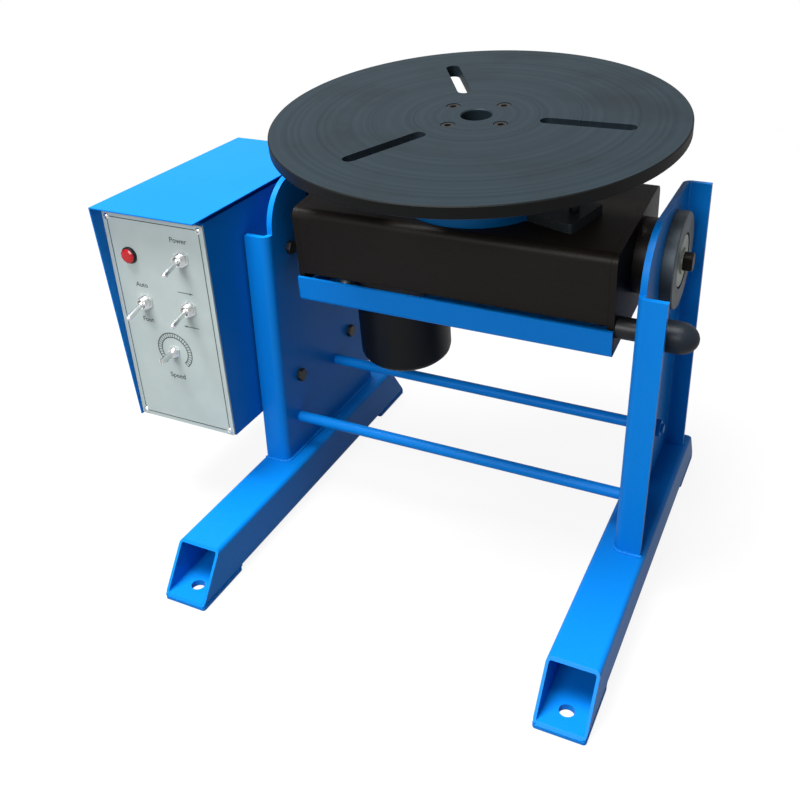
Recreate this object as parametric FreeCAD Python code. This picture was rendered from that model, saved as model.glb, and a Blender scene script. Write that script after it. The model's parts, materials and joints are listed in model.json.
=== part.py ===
import FreeCAD, Part
import math
import os

# Bench welding positioner: two channel uprights on tube feet carry a tilting
# gear housing, a rotary table and a control box.
# Lengths in mm. +Z is up, X runs along the tilt axis, the feet run along Y.
# Fixed pieces are drawn from the floor under the tilt axis. Tilting pieces are
# drawn about the tilt axis with the table level, then turned to the rest tilt.

os.makedirs("parts", exist_ok=True)

# ---- overall layout ----
tilt_axis_height = 320.0
rest_tilt_deg = 6.2
tilt_range_deg = 90.0
web_inner_half = 187.0

# ---- feet ----
foot_tube_width = 48.0
foot_tube_height = 48.0
foot_wall = 3.0
foot_corner_radius = 5.0
foot_offset = 8.0
foot_front = -305.0
foot_rear = 160.0
foot_end_slant = 36.0
pad_thickness = 4.0
pad_length = 69.0
floor_hole_radius = 7.0
floor_hole_inset = 24.0

# ---- uprights ----
plate_thickness = 6.0
bend_radius = 9.0
flange_width = 27.0
upright_front = -111.0
upright_rear_base = 104.0
upright_rear_top = 66.0
front_flange_top = 325.0
upright_top = 377.0
web_corner_radius = 48.0
web_front_setback = 2.0

# ---- tie rods ----
rod_radius = 6.0
rod_end_radius = 5.0
rod_hole_clearance = 0.2
front_rod_y = -77.0
front_rod_z = 95.5
rear_rod_y = 12.0
rear_rod_z = 124.5
rod_end_reach = 11.0
rod_nut_flats = 16.0
rod_nut_height = 8.0

# ---- tilt bearings ----
trunnion_radius = 15.0
bush_wall = 4.0
bearing_disc_radius = 47.0
bearing_disc_thickness = 12.0
bearing_spigot_radius = 27.0
recess_radius = 27.0
recess_depth = 4.0
retaining_washer_radius = 25.0
retaining_washer_thickness = 3.0
trunnion_end_radius = 9.0
trunnion_end_reach = 9.5
trunnion_flat_width = 13.0
clip_radius = 12.5
clip_thickness = 1.5
clip_mouth_width = 4.0
disc_screw_circle = 37.0
disc_screw_radius = 3.0
disc_screw_head_radius = 5.5
disc_screw_count = 4
running_clearance = 0.05
seat_clearance = 0.05
face_gap = 0.3

# ---- tilting housing ----
hub_length = 21.7
housing_front = -92.0
housing_rear = 70.0
housing_top = 44.5
housing_bottom = -27.0
housing_sheet = 4.0
housing_bend_radius = 10.0
end_plate_thickness = 6.0
end_plate_bottom = -55.6
base_plate_thickness = 6.0
hub_radius = 37.0
hub_bolt_circle = 22.0
hub_bolt_radius = 4.0
hub_bolt_count = 3
hub_bolt_depth = 10.0

# ---- tray under the housing ----
tray_sheet = 3.0
tray_overhang_front = 5.0
tray_overhang_rear = 4.0
tray_lip_top = -30.0
tray_bend_radius = 5.0
tray_end_flange = 16.0
tray_screw_radius = 2.5
tray_screw_inset = 40.0
tray_screw_grip = 8.0
tray_screw_head_radius = 4.5
tray_screw_head_height = 2.8
tray_end_gap = 0.3
tray_flange_inset = 4.0

# ---- spindle housing ----
drum_radius = 82.0
drum_flange_thickness = 14.0
boss_radius = 60.0
boss_top = 92.0
neck_radius = 56.0
neck_bottom = 8.0
neck_clearance = 0.5
ear_angle_deg = -17.0
ear_width = 54.0
ear_reach = 128.0
ear_thickness = 10.0
ear_corner_radius = 4.0
ear_bolt_circle = 113.0
ear_bolt_radius = 3.0
ear_bolt_head_radius = 5.0
ear_bolt_head_height = 6.0
bearing_shoulder = 2.0
seal_lip_width = 9.0

# ---- spindle and bearings ----
bearing_height = 18.0
upper_bearing_outer = 47.5
upper_bearing_inner = 30.0
lower_bearing_outer = 45.0
lower_bearing_inner = 27.5
bearing_ring_gap = 0.1
spindle_bore_radius = 15.0
spindle_flange_radius = 70.0
spindle_flange_thickness = 16.0
spindle_shoulder_radius = 36.0
spindle_end_radius = 25.0
spindle_bottom = -19.5
lock_nut_radius = 34.0
lock_nut_height = 5.0
gear_hub_radius = 33.0

# ---- table ----
table_radius = 200.0
table_thickness = 12.0
table_top = 124.5
table_edge_chamfer = 1.0
slot_width = 14.0
slot_inner_end = 63.0
slot_outer_end = 153.0
slot_count = 3
slot_start_deg = 1.5
table_bolt_circle = 35.0
table_bolt_count = 4
table_bolt_start_deg = 61.5
table_bolt_radius = 4.0
table_bolt_head_radius = 6.5
table_bolt_head_height = 8.0
counterbore_radius = 7.0
counterbore_depth = 8.5
table_bolt_length = 20.0

# ---- gears and motor ----
gear_module = 2.0
table_gear_teeth = 56
pinion_teeth = 32
gear_bottom = -14.0
gear_face_width = 13.0
gear_backlash = 0.30
pinion_extra_height = 1.0
motor_angle_deg = 190.5
motor_radius = 50.5
motor_bottom = -154.0
motor_edge_radius = 9.0
motor_cap_height = 30.0
gearhead_width = 90.0
gearhead_bottom = -54.6
gearhead_corner_radius = 8.0
output_shaft_radius = 7.5
output_boss_radius = 17.0
motor_bolt_radius = 3.0
motor_bolt_inset = 8.0
motor_bolt_grip = 11.0
motor_bolt_flats = 10.0
motor_bolt_head_height = 4.0
motor_hole_clearance = 1.5

# ---- earth brush and terminal ----
brush_circle = 66.5
brush_angle_deg = 100.0
brush_radius = 3.2
brush_holder_radius = 6.0
brush_holder_top = 88.0
terminal_inset = 44.0
terminal_setback = 8.0
terminal_post_radius = 4.0
terminal_dome_radius = 7.5
terminal_top = -28.0

# ---- tilt clamp ----
clamp_y = -81.0
clamp_h = -33.0
clamp_stud_radius = 6.0
clamp_slot_clearance = 0.6
clamp_collar_radius = 10.5
clamp_washer_radius = 14.0
clamp_washer_thickness = 1.5
knob_radius = 15.0
knob_neck_radius = 11.5
knob_neck_length = 8.0
knob_length = 44.0
knob_dome_length = 18.0
knob_end_wall = 6.0

# ---- control box ----
box_gap = 2.0
box_width = 125.0
box_bottom = 112.0
box_rear = 73.0
box_sheet = 1.5
hood_rise = 5.5
hood_front = -189.5
hood_foot_front = -166.5
hood_gap = 0.3
side_lip_width = 12.0
panel_foot_y = -164.0
panel_lean_deg = 2.4
panel_thickness = 2.0
panel_height = 245.0
panel_edge_gap = 1.0
panel_top_gap = 2.0
panel_frame_width = 12.0
panel_screw_inset = 5.5
panel_screw_radius = 2.0
panel_screw_head_radius = 3.6
panel_screw_head_height = 2.0
panel_screw_length = 7.0
box_bolt_front_y = -71.0
box_bolt_rear_low_y = 46.0
box_bolt_rear_high_y = 57.0
box_bolt_low_z = 147.0
box_bolt_high_z = 301.0
box_bolt_radius = 4.0
box_bolt_flats = 13.0
box_bolt_head = 5.3
box_bolt_nut = 6.5
box_spacer_radius = 8.0

# ---- panel fittings, across from the panel's right edge and down its face ----
lamp_across = 97.0
lamp_down = 45.0
power_across = 31.0
power_down = 38.5
mode_across = 87.0
mode_down = 96.0
direction_across = 32.0
direction_down = 94.5
speed_across = 61.0
speed_down = 151.0
bushing_radius = 6.0
bushing_length = 9.0
switch_nut_flats = 16.0
switch_nut_height = 2.5
switch_body_width = 18.0
switch_body_height = 28.0
switch_body_depth = 20.0
lever_radius = 2.4
lever_tip_radius = 3.1
lever_reach = 25.0
lever_throw_deg = 13.0
lever_pivot_inset = 2.0
lever_ball_radius = 3.6
speed_body_radius = 12.0
speed_body_depth = 14.0
speed_bushing_radius = 4.7
speed_bushing_length = 6.0
speed_nut_flats = 12.0
speed_shaft_radius = 3.0
speed_shaft_reach = 24.0
lamp_hole_radius = 6.0
lamp_bezel_radius = 9.0
lamp_bezel_height = 3.0
lamp_lens_radius = 6.8
lamp_lens_height = 6.0
lamp_barrel_length = 26.0
thread_clearance = 0.1

# ---- inside and behind the box ----
transformer_offset = 3.5
transformer_y = -20.0
transformer_length = 62.0
transformer_width = 52.0
transformer_height = 54.0
coil_height = 36.0
coil_overhang = 8.0
board_width = 90.0
board_height = 120.0
board_thickness = 1.6
board_z = 200.0
board_hole_inset = 8.0
standoff_length = 10.0
standoff_radius = 3.0
heat_sink_width = 50.0
heat_sink_height = 40.0
heat_sink_depth = 22.0
heat_sink_lift = 20.0
gland_radius = 8.0
gland_flats = 22.0
gland_reach = 22.0
gland_bore_radius = 3.5
gland_z = 140.0
gland_spacing = 46.0

# ---- sizes that follow from the ones above ----
web_outer_half = web_inner_half + plate_thickness
foot_half_spacing = web_inner_half + foot_offset
foot_top = pad_thickness + foot_tube_height
hub_outer = web_inner_half - face_gap
end_outer = hub_outer - hub_length
housing_half_length = end_outer - end_plate_thickness
base_top = housing_bottom + base_plate_thickness
tray_front = housing_front - tray_overhang_front
tray_rear = housing_rear + tray_overhang_rear
tray_bottom = end_plate_bottom - tray_sheet
terminal_x = terminal_inset - housing_half_length
terminal_y = housing_front + terminal_setback
disc_outer = web_outer_half + bearing_disc_thickness
motor_distance = gear_module * (table_gear_teeth + pinion_teeth) / 2.0
motor_x = motor_distance * math.cos(math.radians(motor_angle_deg))
motor_y = motor_distance * math.sin(math.radians(motor_angle_deg))
table_under = table_top - table_thickness
spindle_flange_under = table_under - spindle_flange_thickness
upper_bearing_bottom = boss_top - bearing_height - bearing_shoulder
lower_bearing_bottom = neck_bottom + bearing_shoulder
clamp_radius = math.hypot(clamp_y, clamp_h)
clamp_angle_deg = math.degrees(math.atan2(clamp_h, clamp_y)) % 360.0
frame_shift_y = -(foot_front + foot_rear) / 2.0
box_right = -(web_inner_half + flange_width + box_gap)
box_left = box_right - box_width
box_side_top = box_bottom + panel_height + panel_top_gap
hood_top = box_side_top + hood_rise
box_centre_x = (box_left + box_right) / 2.0
chassis_left = box_left + box_sheet + hood_gap
transformer_x = box_centre_x + transformer_offset

X = FreeCAD.Vector(1, 0, 0)
Y = FreeCAD.Vector(0, 1, 0)
Z = FreeCAD.Vector(0, 0, 1)
ORIGIN = FreeCAD.Vector(0, 0, 0)


# ---- drawing helpers ----
def vec(x, y, z):
    return FreeCAD.Vector(x, y, z)


def block(x0, x1, y0, y1, z0, z1):
    return Part.makeBox(x1 - x0, y1 - y0, z1 - z0, vec(x0, y0, z0))


def round_bar(start, axis, radius, length):
    return Part.makeCylinder(radius, length, start, axis)


def upright_bar(x, y, low, high, radius):
    return round_bar(vec(x, y, low), Z, radius, high - low)


def cross_bar(x0, x1, y, z, radius):
    return round_bar(vec(x0, y, z), X, radius, x1 - x0)


def rounded_wire(points, place):
    """Closed wire through (u, v, corner radius) points, set in space by place(u, v)."""
    starts = []
    ends = []
    middles = []
    count = len(points)
    for i in range(count):
        px, py, radius = points[i]
        ax, ay, _ = points[i - 1]
        bx, by, _ = points[(i + 1) % count]
        la = math.hypot(ax - px, ay - py)
        lb = math.hypot(bx - px, by - py)
        ua = ((ax - px) / la, (ay - py) / la)
        ub = ((bx - px) / lb, (by - py) / lb)
        half = math.acos(max(-1.0, min(1.0, ua[0] * ub[0] + ua[1] * ub[1]))) / 2.0
        if radius <= 0:
            starts.append((px, py))
            ends.append((px, py))
            middles.append(None)
            continue
        run = radius / math.tan(half)
        starts.append((px + ua[0] * run, py + ua[1] * run))
        ends.append((px + ub[0] * run, py + ub[1] * run))
        mx = ua[0] + ub[0]
        my = ua[1] + ub[1]
        lm = math.hypot(mx, my)
        reach = radius / math.sin(half) - radius
        middles.append((px + mx / lm * reach, py + my / lm * reach))
    edges = []
    for i in range(count):
        if middles[i] is not None:
            arc = Part.Arc(place(*starts[i]), place(*middles[i]), place(*ends[i]))
            edges.append(arc.toShape())
        a = place(*ends[i])
        b = place(*starts[(i + 1) % count])
        if a.distanceToPoint(b) > 1e-6:
            edges.append(Part.makeLine(a, b))
    return Part.Wire(Part.__sortEdges__(edges))


def side_plate(points, x0, x1):
    """Plate with a (y, z) outline, between two X positions."""
    face = Part.Face(rounded_wire(points, lambda u, v: vec(x0, u, v)))
    return face.extrude(vec(x1 - x0, 0, 0))


def level_plate(points, z0, z1):
    """Plate with an (x, y) outline, between two heights."""
    face = Part.Face(rounded_wire(points, lambda u, v: vec(u, v, z0)))
    return face.extrude(vec(0, 0, z1 - z0))


def front_plate(points, y0, y1):
    """Plate with an (x, z) outline, between two Y positions."""
    face = Part.Face(rounded_wire(points, lambda u, v: vec(u, y0, v)))
    return face.extrude(vec(0, y1 - y0, 0))


def rectangle(u0, u1, v0, v1, radius=0.0):
    return [(u0, v0, radius), (u1, v0, radius), (u1, v1, radius), (u0, v1, radius)]


def turned(profile, start, axis):
    """Solid of revolution from (radius, distance along the axis) points."""
    points = [vec(r, 0, h) for r, h in profile]
    points.append(points[0])
    solid = Part.Face(Part.makePolygon(points)).revolve(ORIGIN, Z, 360)
    solid.Placement = FreeCAD.Placement(start, FreeCAD.Rotation(Z, axis))
    return solid


def hexagon(start, axis, flats, height):
    """Hexagonal prism, given its width across flats."""
    corner = flats / math.sqrt(3.0)
    points = []
    for i in range(7):
        angle = math.radians(30 + 60 * i)
        points.append(vec(corner * math.cos(angle), corner * math.sin(angle), 0))
    solid = Part.Face(Part.makePolygon(points)).extrude(vec(0, 0, height))
    solid.Placement = FreeCAD.Placement(start, FreeCAD.Rotation(Z, axis))
    return solid


def around(angle_deg, circle):
    angle = math.radians(angle_deg)
    return circle * math.cos(angle), circle * math.sin(angle)


def mirrored(shape):
    return shape.mirror(ORIGIN, X)


def cut_all(shape, tools):
    for tool in tools:
        shape = shape.cut(tool)
    return shape


def fuse_all(shapes):
    result = shapes[0]
    for shape in shapes[1:]:
        result = result.fuse(shape)
    return result.removeSplitter()


def on_panel(shape):
    """Moves a shape from panel axes (x, depth behind the face, height) into place."""
    result = shape.copy()
    lean = FreeCAD.Rotation(X, panel_lean_deg)
    result.Placement = FreeCAD.Placement(vec(0, panel_foot_y, box_bottom), lean).multiply(result.Placement)
    return result


def save(name, shapes, tilting=False):
    """Writes one node, moved from its drawing axes to the model's axes."""
    if not isinstance(shapes, list):
        shapes = [shapes]
    move = FreeCAD.Placement(vec(0, frame_shift_y, 0), FreeCAD.Rotation())
    if tilting:
        turn = FreeCAD.Rotation(X, rest_tilt_deg)
        move = FreeCAD.Placement(vec(0, frame_shift_y, tilt_axis_height), turn)
    placed = []
    for shape in shapes:
        solid = shape.copy()
        solid.Placement = move.multiply(solid.Placement)
        placed.append(solid)
    whole = placed[0] if len(placed) == 1 else Part.makeCompound(placed)
    whole.exportStep("parts/" + name + ".step")


# ---- feet: square tube with slanted ends on welded pads ----
def foot(centre_x):
    half = foot_tube_width / 2.0
    outer = rectangle(centre_x - half, centre_x + half, pad_thickness, foot_top, foot_corner_radius)
    inner = rectangle(centre_x - half + foot_wall, centre_x + half - foot_wall,
                      pad_thickness + foot_wall, foot_top - foot_wall,
                      foot_corner_radius - foot_wall)
    tube = front_plate(outer, foot_front, foot_rear)
    tube = tube.cut(front_plate(inner, foot_front - 1, foot_rear + 1))
    side = [(foot_front, pad_thickness, 0), (foot_rear, pad_thickness, 0),
            (foot_rear - foot_end_slant, foot_top, 0), (foot_front + foot_end_slant, foot_top, 0)]
    tube = tube.common(side_plate(side, centre_x - half, centre_x + half))
    for y in (foot_front + floor_hole_inset, foot_rear - floor_hole_inset):
        tube = tube.cut(upright_bar(centre_x, y, pad_thickness - 1, pad_thickness + foot_wall + 1,
                                    floor_hole_radius))
    return tube


save("left_foot", foot(-foot_half_spacing))
save("right_foot", foot(foot_half_spacing))

pads = []
for sign in (-1, 1):
    x = sign * foot_half_spacing
    half = foot_tube_width / 2.0
    for y0, y1, hole_y in ((foot_front, foot_front + pad_length, foot_front + floor_hole_inset),
                           (foot_rear - pad_length, foot_rear, foot_rear - floor_hole_inset)):
        pad = level_plate(rectangle(x - half, x + half, y0, y1, 3.0), 0, pad_thickness)
        pads.append(pad.cut(upright_bar(x, hole_y, -1, pad_thickness + 1, floor_hole_radius)))
save("foot_pads", pads)


# ---- uprights: bent channels, web inboard, flanges outward ----
def arc_slot(radius, start_deg, end_deg, half_width, x0, x1):
    """Curved slot about the tilt axis, cut between two X positions."""
    def at(r, deg):
        return vec(x0, r * math.cos(math.radians(deg)), tilt_axis_height + r * math.sin(math.radians(deg)))

    def cap(deg, outward):
        cy = radius * math.cos(math.radians(deg))
        cz = tilt_axis_height + radius * math.sin(math.radians(deg))
        turn = math.radians(deg + (90 if outward else -90))
        return vec(x0, cy + half_width * math.cos(turn), cz + half_width * math.sin(turn))

    middle = (start_deg + end_deg) / 2.0
    edges = [
        Part.Arc(at(radius + half_width, start_deg), at(radius + half_width, middle),
                 at(radius + half_width, end_deg)).toShape(),
        Part.Arc(at(radius + half_width, end_deg), cap(end_deg, True),
                 at(radius - half_width, end_deg)).toShape(),
        Part.Arc(at(radius - half_width, end_deg), at(radius - half_width, middle),
                 at(radius - half_width, start_deg)).toShape(),
        Part.Arc(at(radius - half_width, start_deg), cap(start_deg, False),
                 at(radius + half_width, start_deg)).toShape(),
    ]
    return Part.Face(Part.Wire(edges)).extrude(vec(x1 - x0, 0, 0))


def upright():
    """Right-hand channel, drawn on the +X side: upright front, rear leaning in towards the top."""
    edge = web_inner_half + flange_width
    web = web_inner_half
    wall = plate_thickness

    def section(rear, height):
        points = [
            (edge, upright_front, 0), (edge, upright_front + wall, 0),
            (web + wall, upright_front + wall, bend_radius - wall),
            (web + wall, rear - wall, bend_radius - wall),
            (edge, rear - wall, 0), (edge, rear, 0),
            (web, rear, bend_radius), (web, upright_front, bend_radius),
        ]
        return rounded_wire(points, lambda u, v: vec(u, v, height))

    ends = [section(upright_rear_base, foot_top), section(upright_rear_top, upright_top)]
    channel = Part.makeLoft(ends, True, True)
    web_front = upright_front + bend_radius + web_front_setback
    side = [
        (upright_front, foot_top, 0), (upright_rear_base, foot_top, 0), (upright_rear_base, upright_top, 0),
        (web_front, upright_top, web_corner_radius), (web_front, front_flange_top, 0),
        (upright_front, front_flange_top, 0),
    ]
    channel = channel.common(side_plate(side, web - 1, edge + 1))
    for y, z in ((front_rod_y, front_rod_z), (rear_rod_y, rear_rod_z)):
        channel = channel.cut(cross_bar(web - 1, web + wall + 1, y, z, rod_end_radius + rod_hole_clearance))
    bore = bearing_spigot_radius + seat_clearance
    return channel.cut(cross_bar(web - 1, web + wall + 1, 0, tilt_axis_height, bore))


disc_screw_spots = []
for i in range(disc_screw_count):
    disc_screw_spots.append(around(45 + 360.0 * i / disc_screw_count, disc_screw_circle))

upright_blank = upright()
for y, z in disc_screw_spots:
    upright_blank = upright_blank.cut(cross_bar(web_inner_half - 1, web_outer_half + 1, y,
                                                z + tilt_axis_height, disc_screw_radius))
slot = arc_slot(clamp_radius, clamp_angle_deg, clamp_angle_deg + tilt_range_deg,
                clamp_stud_radius + clamp_slot_clearance, web_inner_half - 1, web_outer_half + 1)
save("right_upright", upright_blank.cut(slot))

box_bolt_spots = [
    (box_bolt_front_y, box_bolt_low_z), (box_bolt_front_y, box_bolt_high_z),
    (box_bolt_rear_low_y, box_bolt_low_z), (box_bolt_rear_high_y, box_bolt_high_z),
]
left_upright = mirrored(upright_blank)
for y, z in box_bolt_spots:
    left_upright = left_upright.cut(cross_bar(-web_outer_half - 1, -web_inner_half + 1, y, z,
                                              box_bolt_radius + seat_clearance))
save("left_upright", left_upright)


# ---- tie rods between the webs ----
def tie_rod(y, z):
    rod = cross_bar(-web_inner_half, web_inner_half, y, z, rod_radius)
    ends = cross_bar(-web_outer_half - rod_end_reach, web_outer_half + rod_end_reach, y, z, rod_end_radius)
    return rod.fuse(ends)


save("front_tie_rod", tie_rod(front_rod_y, front_rod_z))
save("rear_tie_rod", tie_rod(rear_rod_y, rear_rod_z))
rod_nuts = []
for y, z in ((front_rod_y, front_rod_z), (rear_rod_y, rear_rod_z)):
    nut = hexagon(vec(web_outer_half, y, z), X, rod_nut_flats, rod_nut_height)
    nut = nut.cut(cross_bar(web_outer_half - 1, web_outer_half + rod_nut_height + 1, y, z,
                            rod_end_radius + seat_clearance))
    rod_nuts.append(nut)
    rod_nuts.append(mirrored(nut))
save("tie_rod_nuts", rod_nuts)

# ---- tilt bearings on the outside of each web ----
bush_outer = trunnion_radius + running_clearance + bush_wall
disc = turned([
    (bush_outer + seat_clearance, web_inner_half), (bearing_spigot_radius, web_inner_half),
    (bearing_spigot_radius, web_outer_half), (bearing_disc_radius, web_outer_half),
    (bearing_disc_radius, disc_outer - 1.0), (bearing_disc_radius - 1.0, disc_outer),
    (recess_radius, disc_outer), (recess_radius, disc_outer - recess_depth),
    (bush_outer + seat_clearance, disc_outer - recess_depth),
], vec(0, 0, tilt_axis_height), X)
countersink_depth = disc_screw_head_radius - disc_screw_radius
screw_length = bearing_disc_thickness + plate_thickness
screw_profile = [
    (0, 0), (disc_screw_radius - seat_clearance, 0),
    (disc_screw_radius - seat_clearance, screw_length - countersink_depth),
    (disc_screw_head_radius - seat_clearance, screw_length), (0, screw_length),
]
hole_profile = [
    (0, -1), (disc_screw_radius, -1), (disc_screw_radius, screw_length - countersink_depth),
    (disc_screw_head_radius, screw_length), (disc_screw_head_radius, screw_length + 1),
    (0, screw_length + 1),
]
disc_screws = []
for y, z in disc_screw_spots:
    spot = vec(web_inner_half, y, z + tilt_axis_height)
    disc = disc.cut(turned(hole_profile, spot, X))
    screw = turned(screw_profile, spot, X)
    disc_screws.append(screw)
    disc_screws.append(mirrored(screw))
save("right_bearing_disc", disc)
save("left_bearing_disc", mirrored(disc))
save("bearing_disc_screws", disc_screws)

bush_length = disc_outer - recess_depth - web_inner_half
bush = cross_bar(web_inner_half, web_inner_half + bush_length, 0, tilt_axis_height, bush_outer)
bush = bush.cut(cross_bar(web_inner_half - 1, disc_outer, 0, tilt_axis_height,
                          trunnion_radius + running_clearance))
save("tilt_bushes", [bush, mirrored(bush)])


# ---- trunnions bolted to the housing's end plates ----
trunnion = turned([
    (0, end_outer), (hub_radius, end_outer), (hub_radius, hub_outer - 2.0), (hub_radius - 2.0, hub_outer),
    (trunnion_radius, hub_outer), (trunnion_radius, disc_outer - recess_depth + face_gap),
    (trunnion_end_radius, disc_outer - recess_depth + face_gap),
    (trunnion_end_radius, disc_outer + trunnion_end_reach - 1.0),
    (trunnion_end_radius - 1.0, disc_outer + trunnion_end_reach), (0, disc_outer + trunnion_end_reach),
], ORIGIN, X)
flat_start = disc_outer + 1.0
flat_end = disc_outer + trunnion_end_reach + 1.0
for sign in (-1, 1):
    y0 = sign * trunnion_flat_width / 2.0
    y1 = sign * (trunnion_end_radius + 1.0)
    trunnion = trunnion.cut(block(flat_start, flat_end, min(y0, y1), max(y0, y1),
                                  -trunnion_end_radius, trunnion_end_radius))
hub_bolt_spots = []
for i in range(hub_bolt_count):
    hub_bolt_spots.append(around(90 + 360.0 * i / hub_bolt_count, hub_bolt_circle))
hub_bolts = []
for y, z in hub_bolt_spots:
    hole = cross_bar(end_outer - 1, end_outer + hub_bolt_depth, y, z, hub_bolt_radius + seat_clearance)
    trunnion = trunnion.cut(hole)
    shank = cross_bar(housing_half_length, end_outer + hub_bolt_depth - face_gap, y, z, hub_bolt_radius)
    head = hexagon(vec(housing_half_length - box_bolt_head, y, z), X, box_bolt_flats, box_bolt_head)
    bolt = head.fuse(shank)
    hub_bolts.append(bolt)
    hub_bolts.append(mirrored(bolt))
save("right_trunnion", trunnion, True)
save("left_trunnion", mirrored(trunnion), True)
save("trunnion_bolts", hub_bolts, True)

washer_start = disc_outer - recess_depth + face_gap
washer = cross_bar(washer_start, washer_start + retaining_washer_thickness, 0, 0, retaining_washer_radius)
washer = washer.cut(cross_bar(washer_start - 1, disc_outer + 1, 0, 0, trunnion_end_radius + seat_clearance))
clip_start = washer_start + retaining_washer_thickness
clip = cross_bar(clip_start, clip_start + clip_thickness, 0, 0, clip_radius)
clip = clip.cut(cross_bar(clip_start - 1, disc_outer + 5, 0, 0, trunnion_end_radius + seat_clearance))
clip = clip.cut(block(clip_start - 1, disc_outer + 5, -clip_mouth_width / 2.0, clip_mouth_width / 2.0,
                      -clip_radius - 1, 0))
save("retaining_washers", [washer, mirrored(washer), clip, mirrored(clip)], True)

# ---- tilting housing: bent cover, end plates and base plate ----
section = [
    (housing_front, housing_bottom, 0), (housing_front, housing_top, housing_bend_radius),
    (housing_rear, housing_top, housing_bend_radius), (housing_rear, housing_bottom, 0),
    (housing_rear - housing_sheet, housing_bottom, 0),
    (housing_rear - housing_sheet, housing_top - housing_sheet, housing_bend_radius - housing_sheet),
    (housing_front + housing_sheet, housing_top - housing_sheet, housing_bend_radius - housing_sheet),
    (housing_front + housing_sheet, housing_bottom, 0),
]
cover = side_plate(section, -housing_half_length, housing_half_length)
cover = cover.cut(upright_bar(0, 0, 0, housing_top + 1, neck_radius + neck_clearance))
ear_bolt_spots = []
for turn in (0, 180):
    ear_bolt_spots.append(around(ear_angle_deg + turn, ear_bolt_circle))
for x, y in ear_bolt_spots:
    cover = cover.cut(upright_bar(x, y, 0, housing_top + 1, ear_bolt_radius))
save("tilt_housing", cover, True)

end_outline = [
    (housing_front, end_plate_bottom, 4.0), (housing_front, housing_top, housing_bend_radius),
    (housing_rear, housing_top, housing_bend_radius), (housing_rear, end_plate_bottom, 4.0),
]
end_plate = side_plate(end_outline, housing_half_length, end_outer)
for y, z in hub_bolt_spots:
    end_plate = end_plate.cut(cross_bar(housing_half_length - 1, end_outer + 1, y, z,
                                        hub_bolt_radius + seat_clearance))
tray_screw_z = end_plate_bottom + tray_end_flange / 2.0
tray_screw_spots = [(housing_front + tray_screw_inset, tray_screw_z),
                    (housing_rear - tray_screw_inset, tray_screw_z)]
for y, z in tray_screw_spots:
    end_plate = end_plate.cut(cross_bar(housing_half_length - 1, end_outer + 1, y, z,
                                        tray_screw_radius + seat_clearance))
save("left_end_plate", mirrored(end_plate), True)
right_end_plate = end_plate.cut(cross_bar(housing_half_length - 1, end_outer + 1, clamp_y, clamp_h,
                                          clamp_stud_radius + seat_clearance))
save("right_end_plate", right_end_plate, True)

base_outline = rectangle(-housing_half_length, housing_half_length,
                         housing_front + housing_sheet, housing_rear - housing_sheet)
base = level_plate(base_outline, housing_bottom, base_top)
base = base.cut(upright_bar(0, 0, housing_bottom - 1, base_top + 1, spindle_bore_radius + 2.0))
base = base.cut(upright_bar(motor_x, motor_y, housing_bottom - 1, base_top + 1,
                            output_boss_radius + neck_clearance))
motor_bolt_spots = []
motor_bolt_half = gearhead_width / 2.0 - motor_bolt_inset
for sx in (-1, 1):
    for sy in (-1, 1):
        motor_bolt_spots.append((motor_x + sx * motor_bolt_half, motor_y + sy * motor_bolt_half))
for x, y in motor_bolt_spots:
    base = base.cut(upright_bar(x, y, housing_bottom - 1, base_top + 1, motor_bolt_radius + seat_clearance))
save("base_plate", base, True)

# ---- tray: folded sheet hung between the end plates ----
tray_half = end_outer
tray_flange_x = housing_half_length - tray_end_gap
tray_section = [
    (tray_front, tray_lip_top, 0), (tray_front, tray_bottom, tray_bend_radius),
    (tray_rear, tray_bottom, tray_bend_radius), (tray_rear, tray_lip_top, 0),
    (tray_rear - tray_sheet, tray_lip_top, 0),
    (tray_rear - tray_sheet, tray_bottom + tray_sheet, tray_bend_radius - tray_sheet),
    (tray_front + tray_sheet, tray_bottom + tray_sheet, tray_bend_radius - tray_sheet),
    (tray_front + tray_sheet, tray_lip_top, 0),
]
tray = side_plate(tray_section, -tray_half, tray_half)
flange_top = end_plate_bottom + tray_end_flange
for sign in (-1, 1):
    x0 = sign * (tray_flange_x - tray_sheet)
    x1 = sign * tray_flange_x
    tray = tray.fuse(block(min(x0, x1), max(x0, x1), housing_front + tray_flange_inset,
                           housing_rear - tray_flange_inset, tray_bottom + tray_sheet / 2.0, flange_top))
tray = tray.removeSplitter()
for y, z in tray_screw_spots:
    tray = tray.cut(cross_bar(-housing_half_length, housing_half_length, y, z,
                              tray_screw_radius + seat_clearance))
tray = tray.cut(upright_bar(motor_x, motor_y, tray_bottom - 1, end_plate_bottom + 1,
                            motor_radius + motor_hole_clearance))
tray = tray.cut(upright_bar(0, 0, tray_bottom - 1, end_plate_bottom + 1, spindle_bore_radius + 2.0))
tray = tray.cut(upright_bar(terminal_x, terminal_y, tray_bottom - 1, end_plate_bottom + 1,
                            terminal_post_radius))
save("tray", tray, True)

tray_screws = []
for y, z in tray_screw_spots:
    shank = cross_bar(housing_half_length - tray_screw_grip, end_outer, y, z, tray_screw_radius)
    head = turned([(0, 0), (tray_screw_head_radius, 0),
                   (tray_screw_head_radius, tray_screw_head_height * 0.55),
                   (tray_screw_head_radius * 0.65, tray_screw_head_height),
                   (0, tray_screw_head_height)], vec(end_outer, y, z), X)
    screw = shank.fuse(head)
    tray_screws.append(screw)
    tray_screws.append(mirrored(screw))
save("tray_screws", tray_screws, True)

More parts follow.
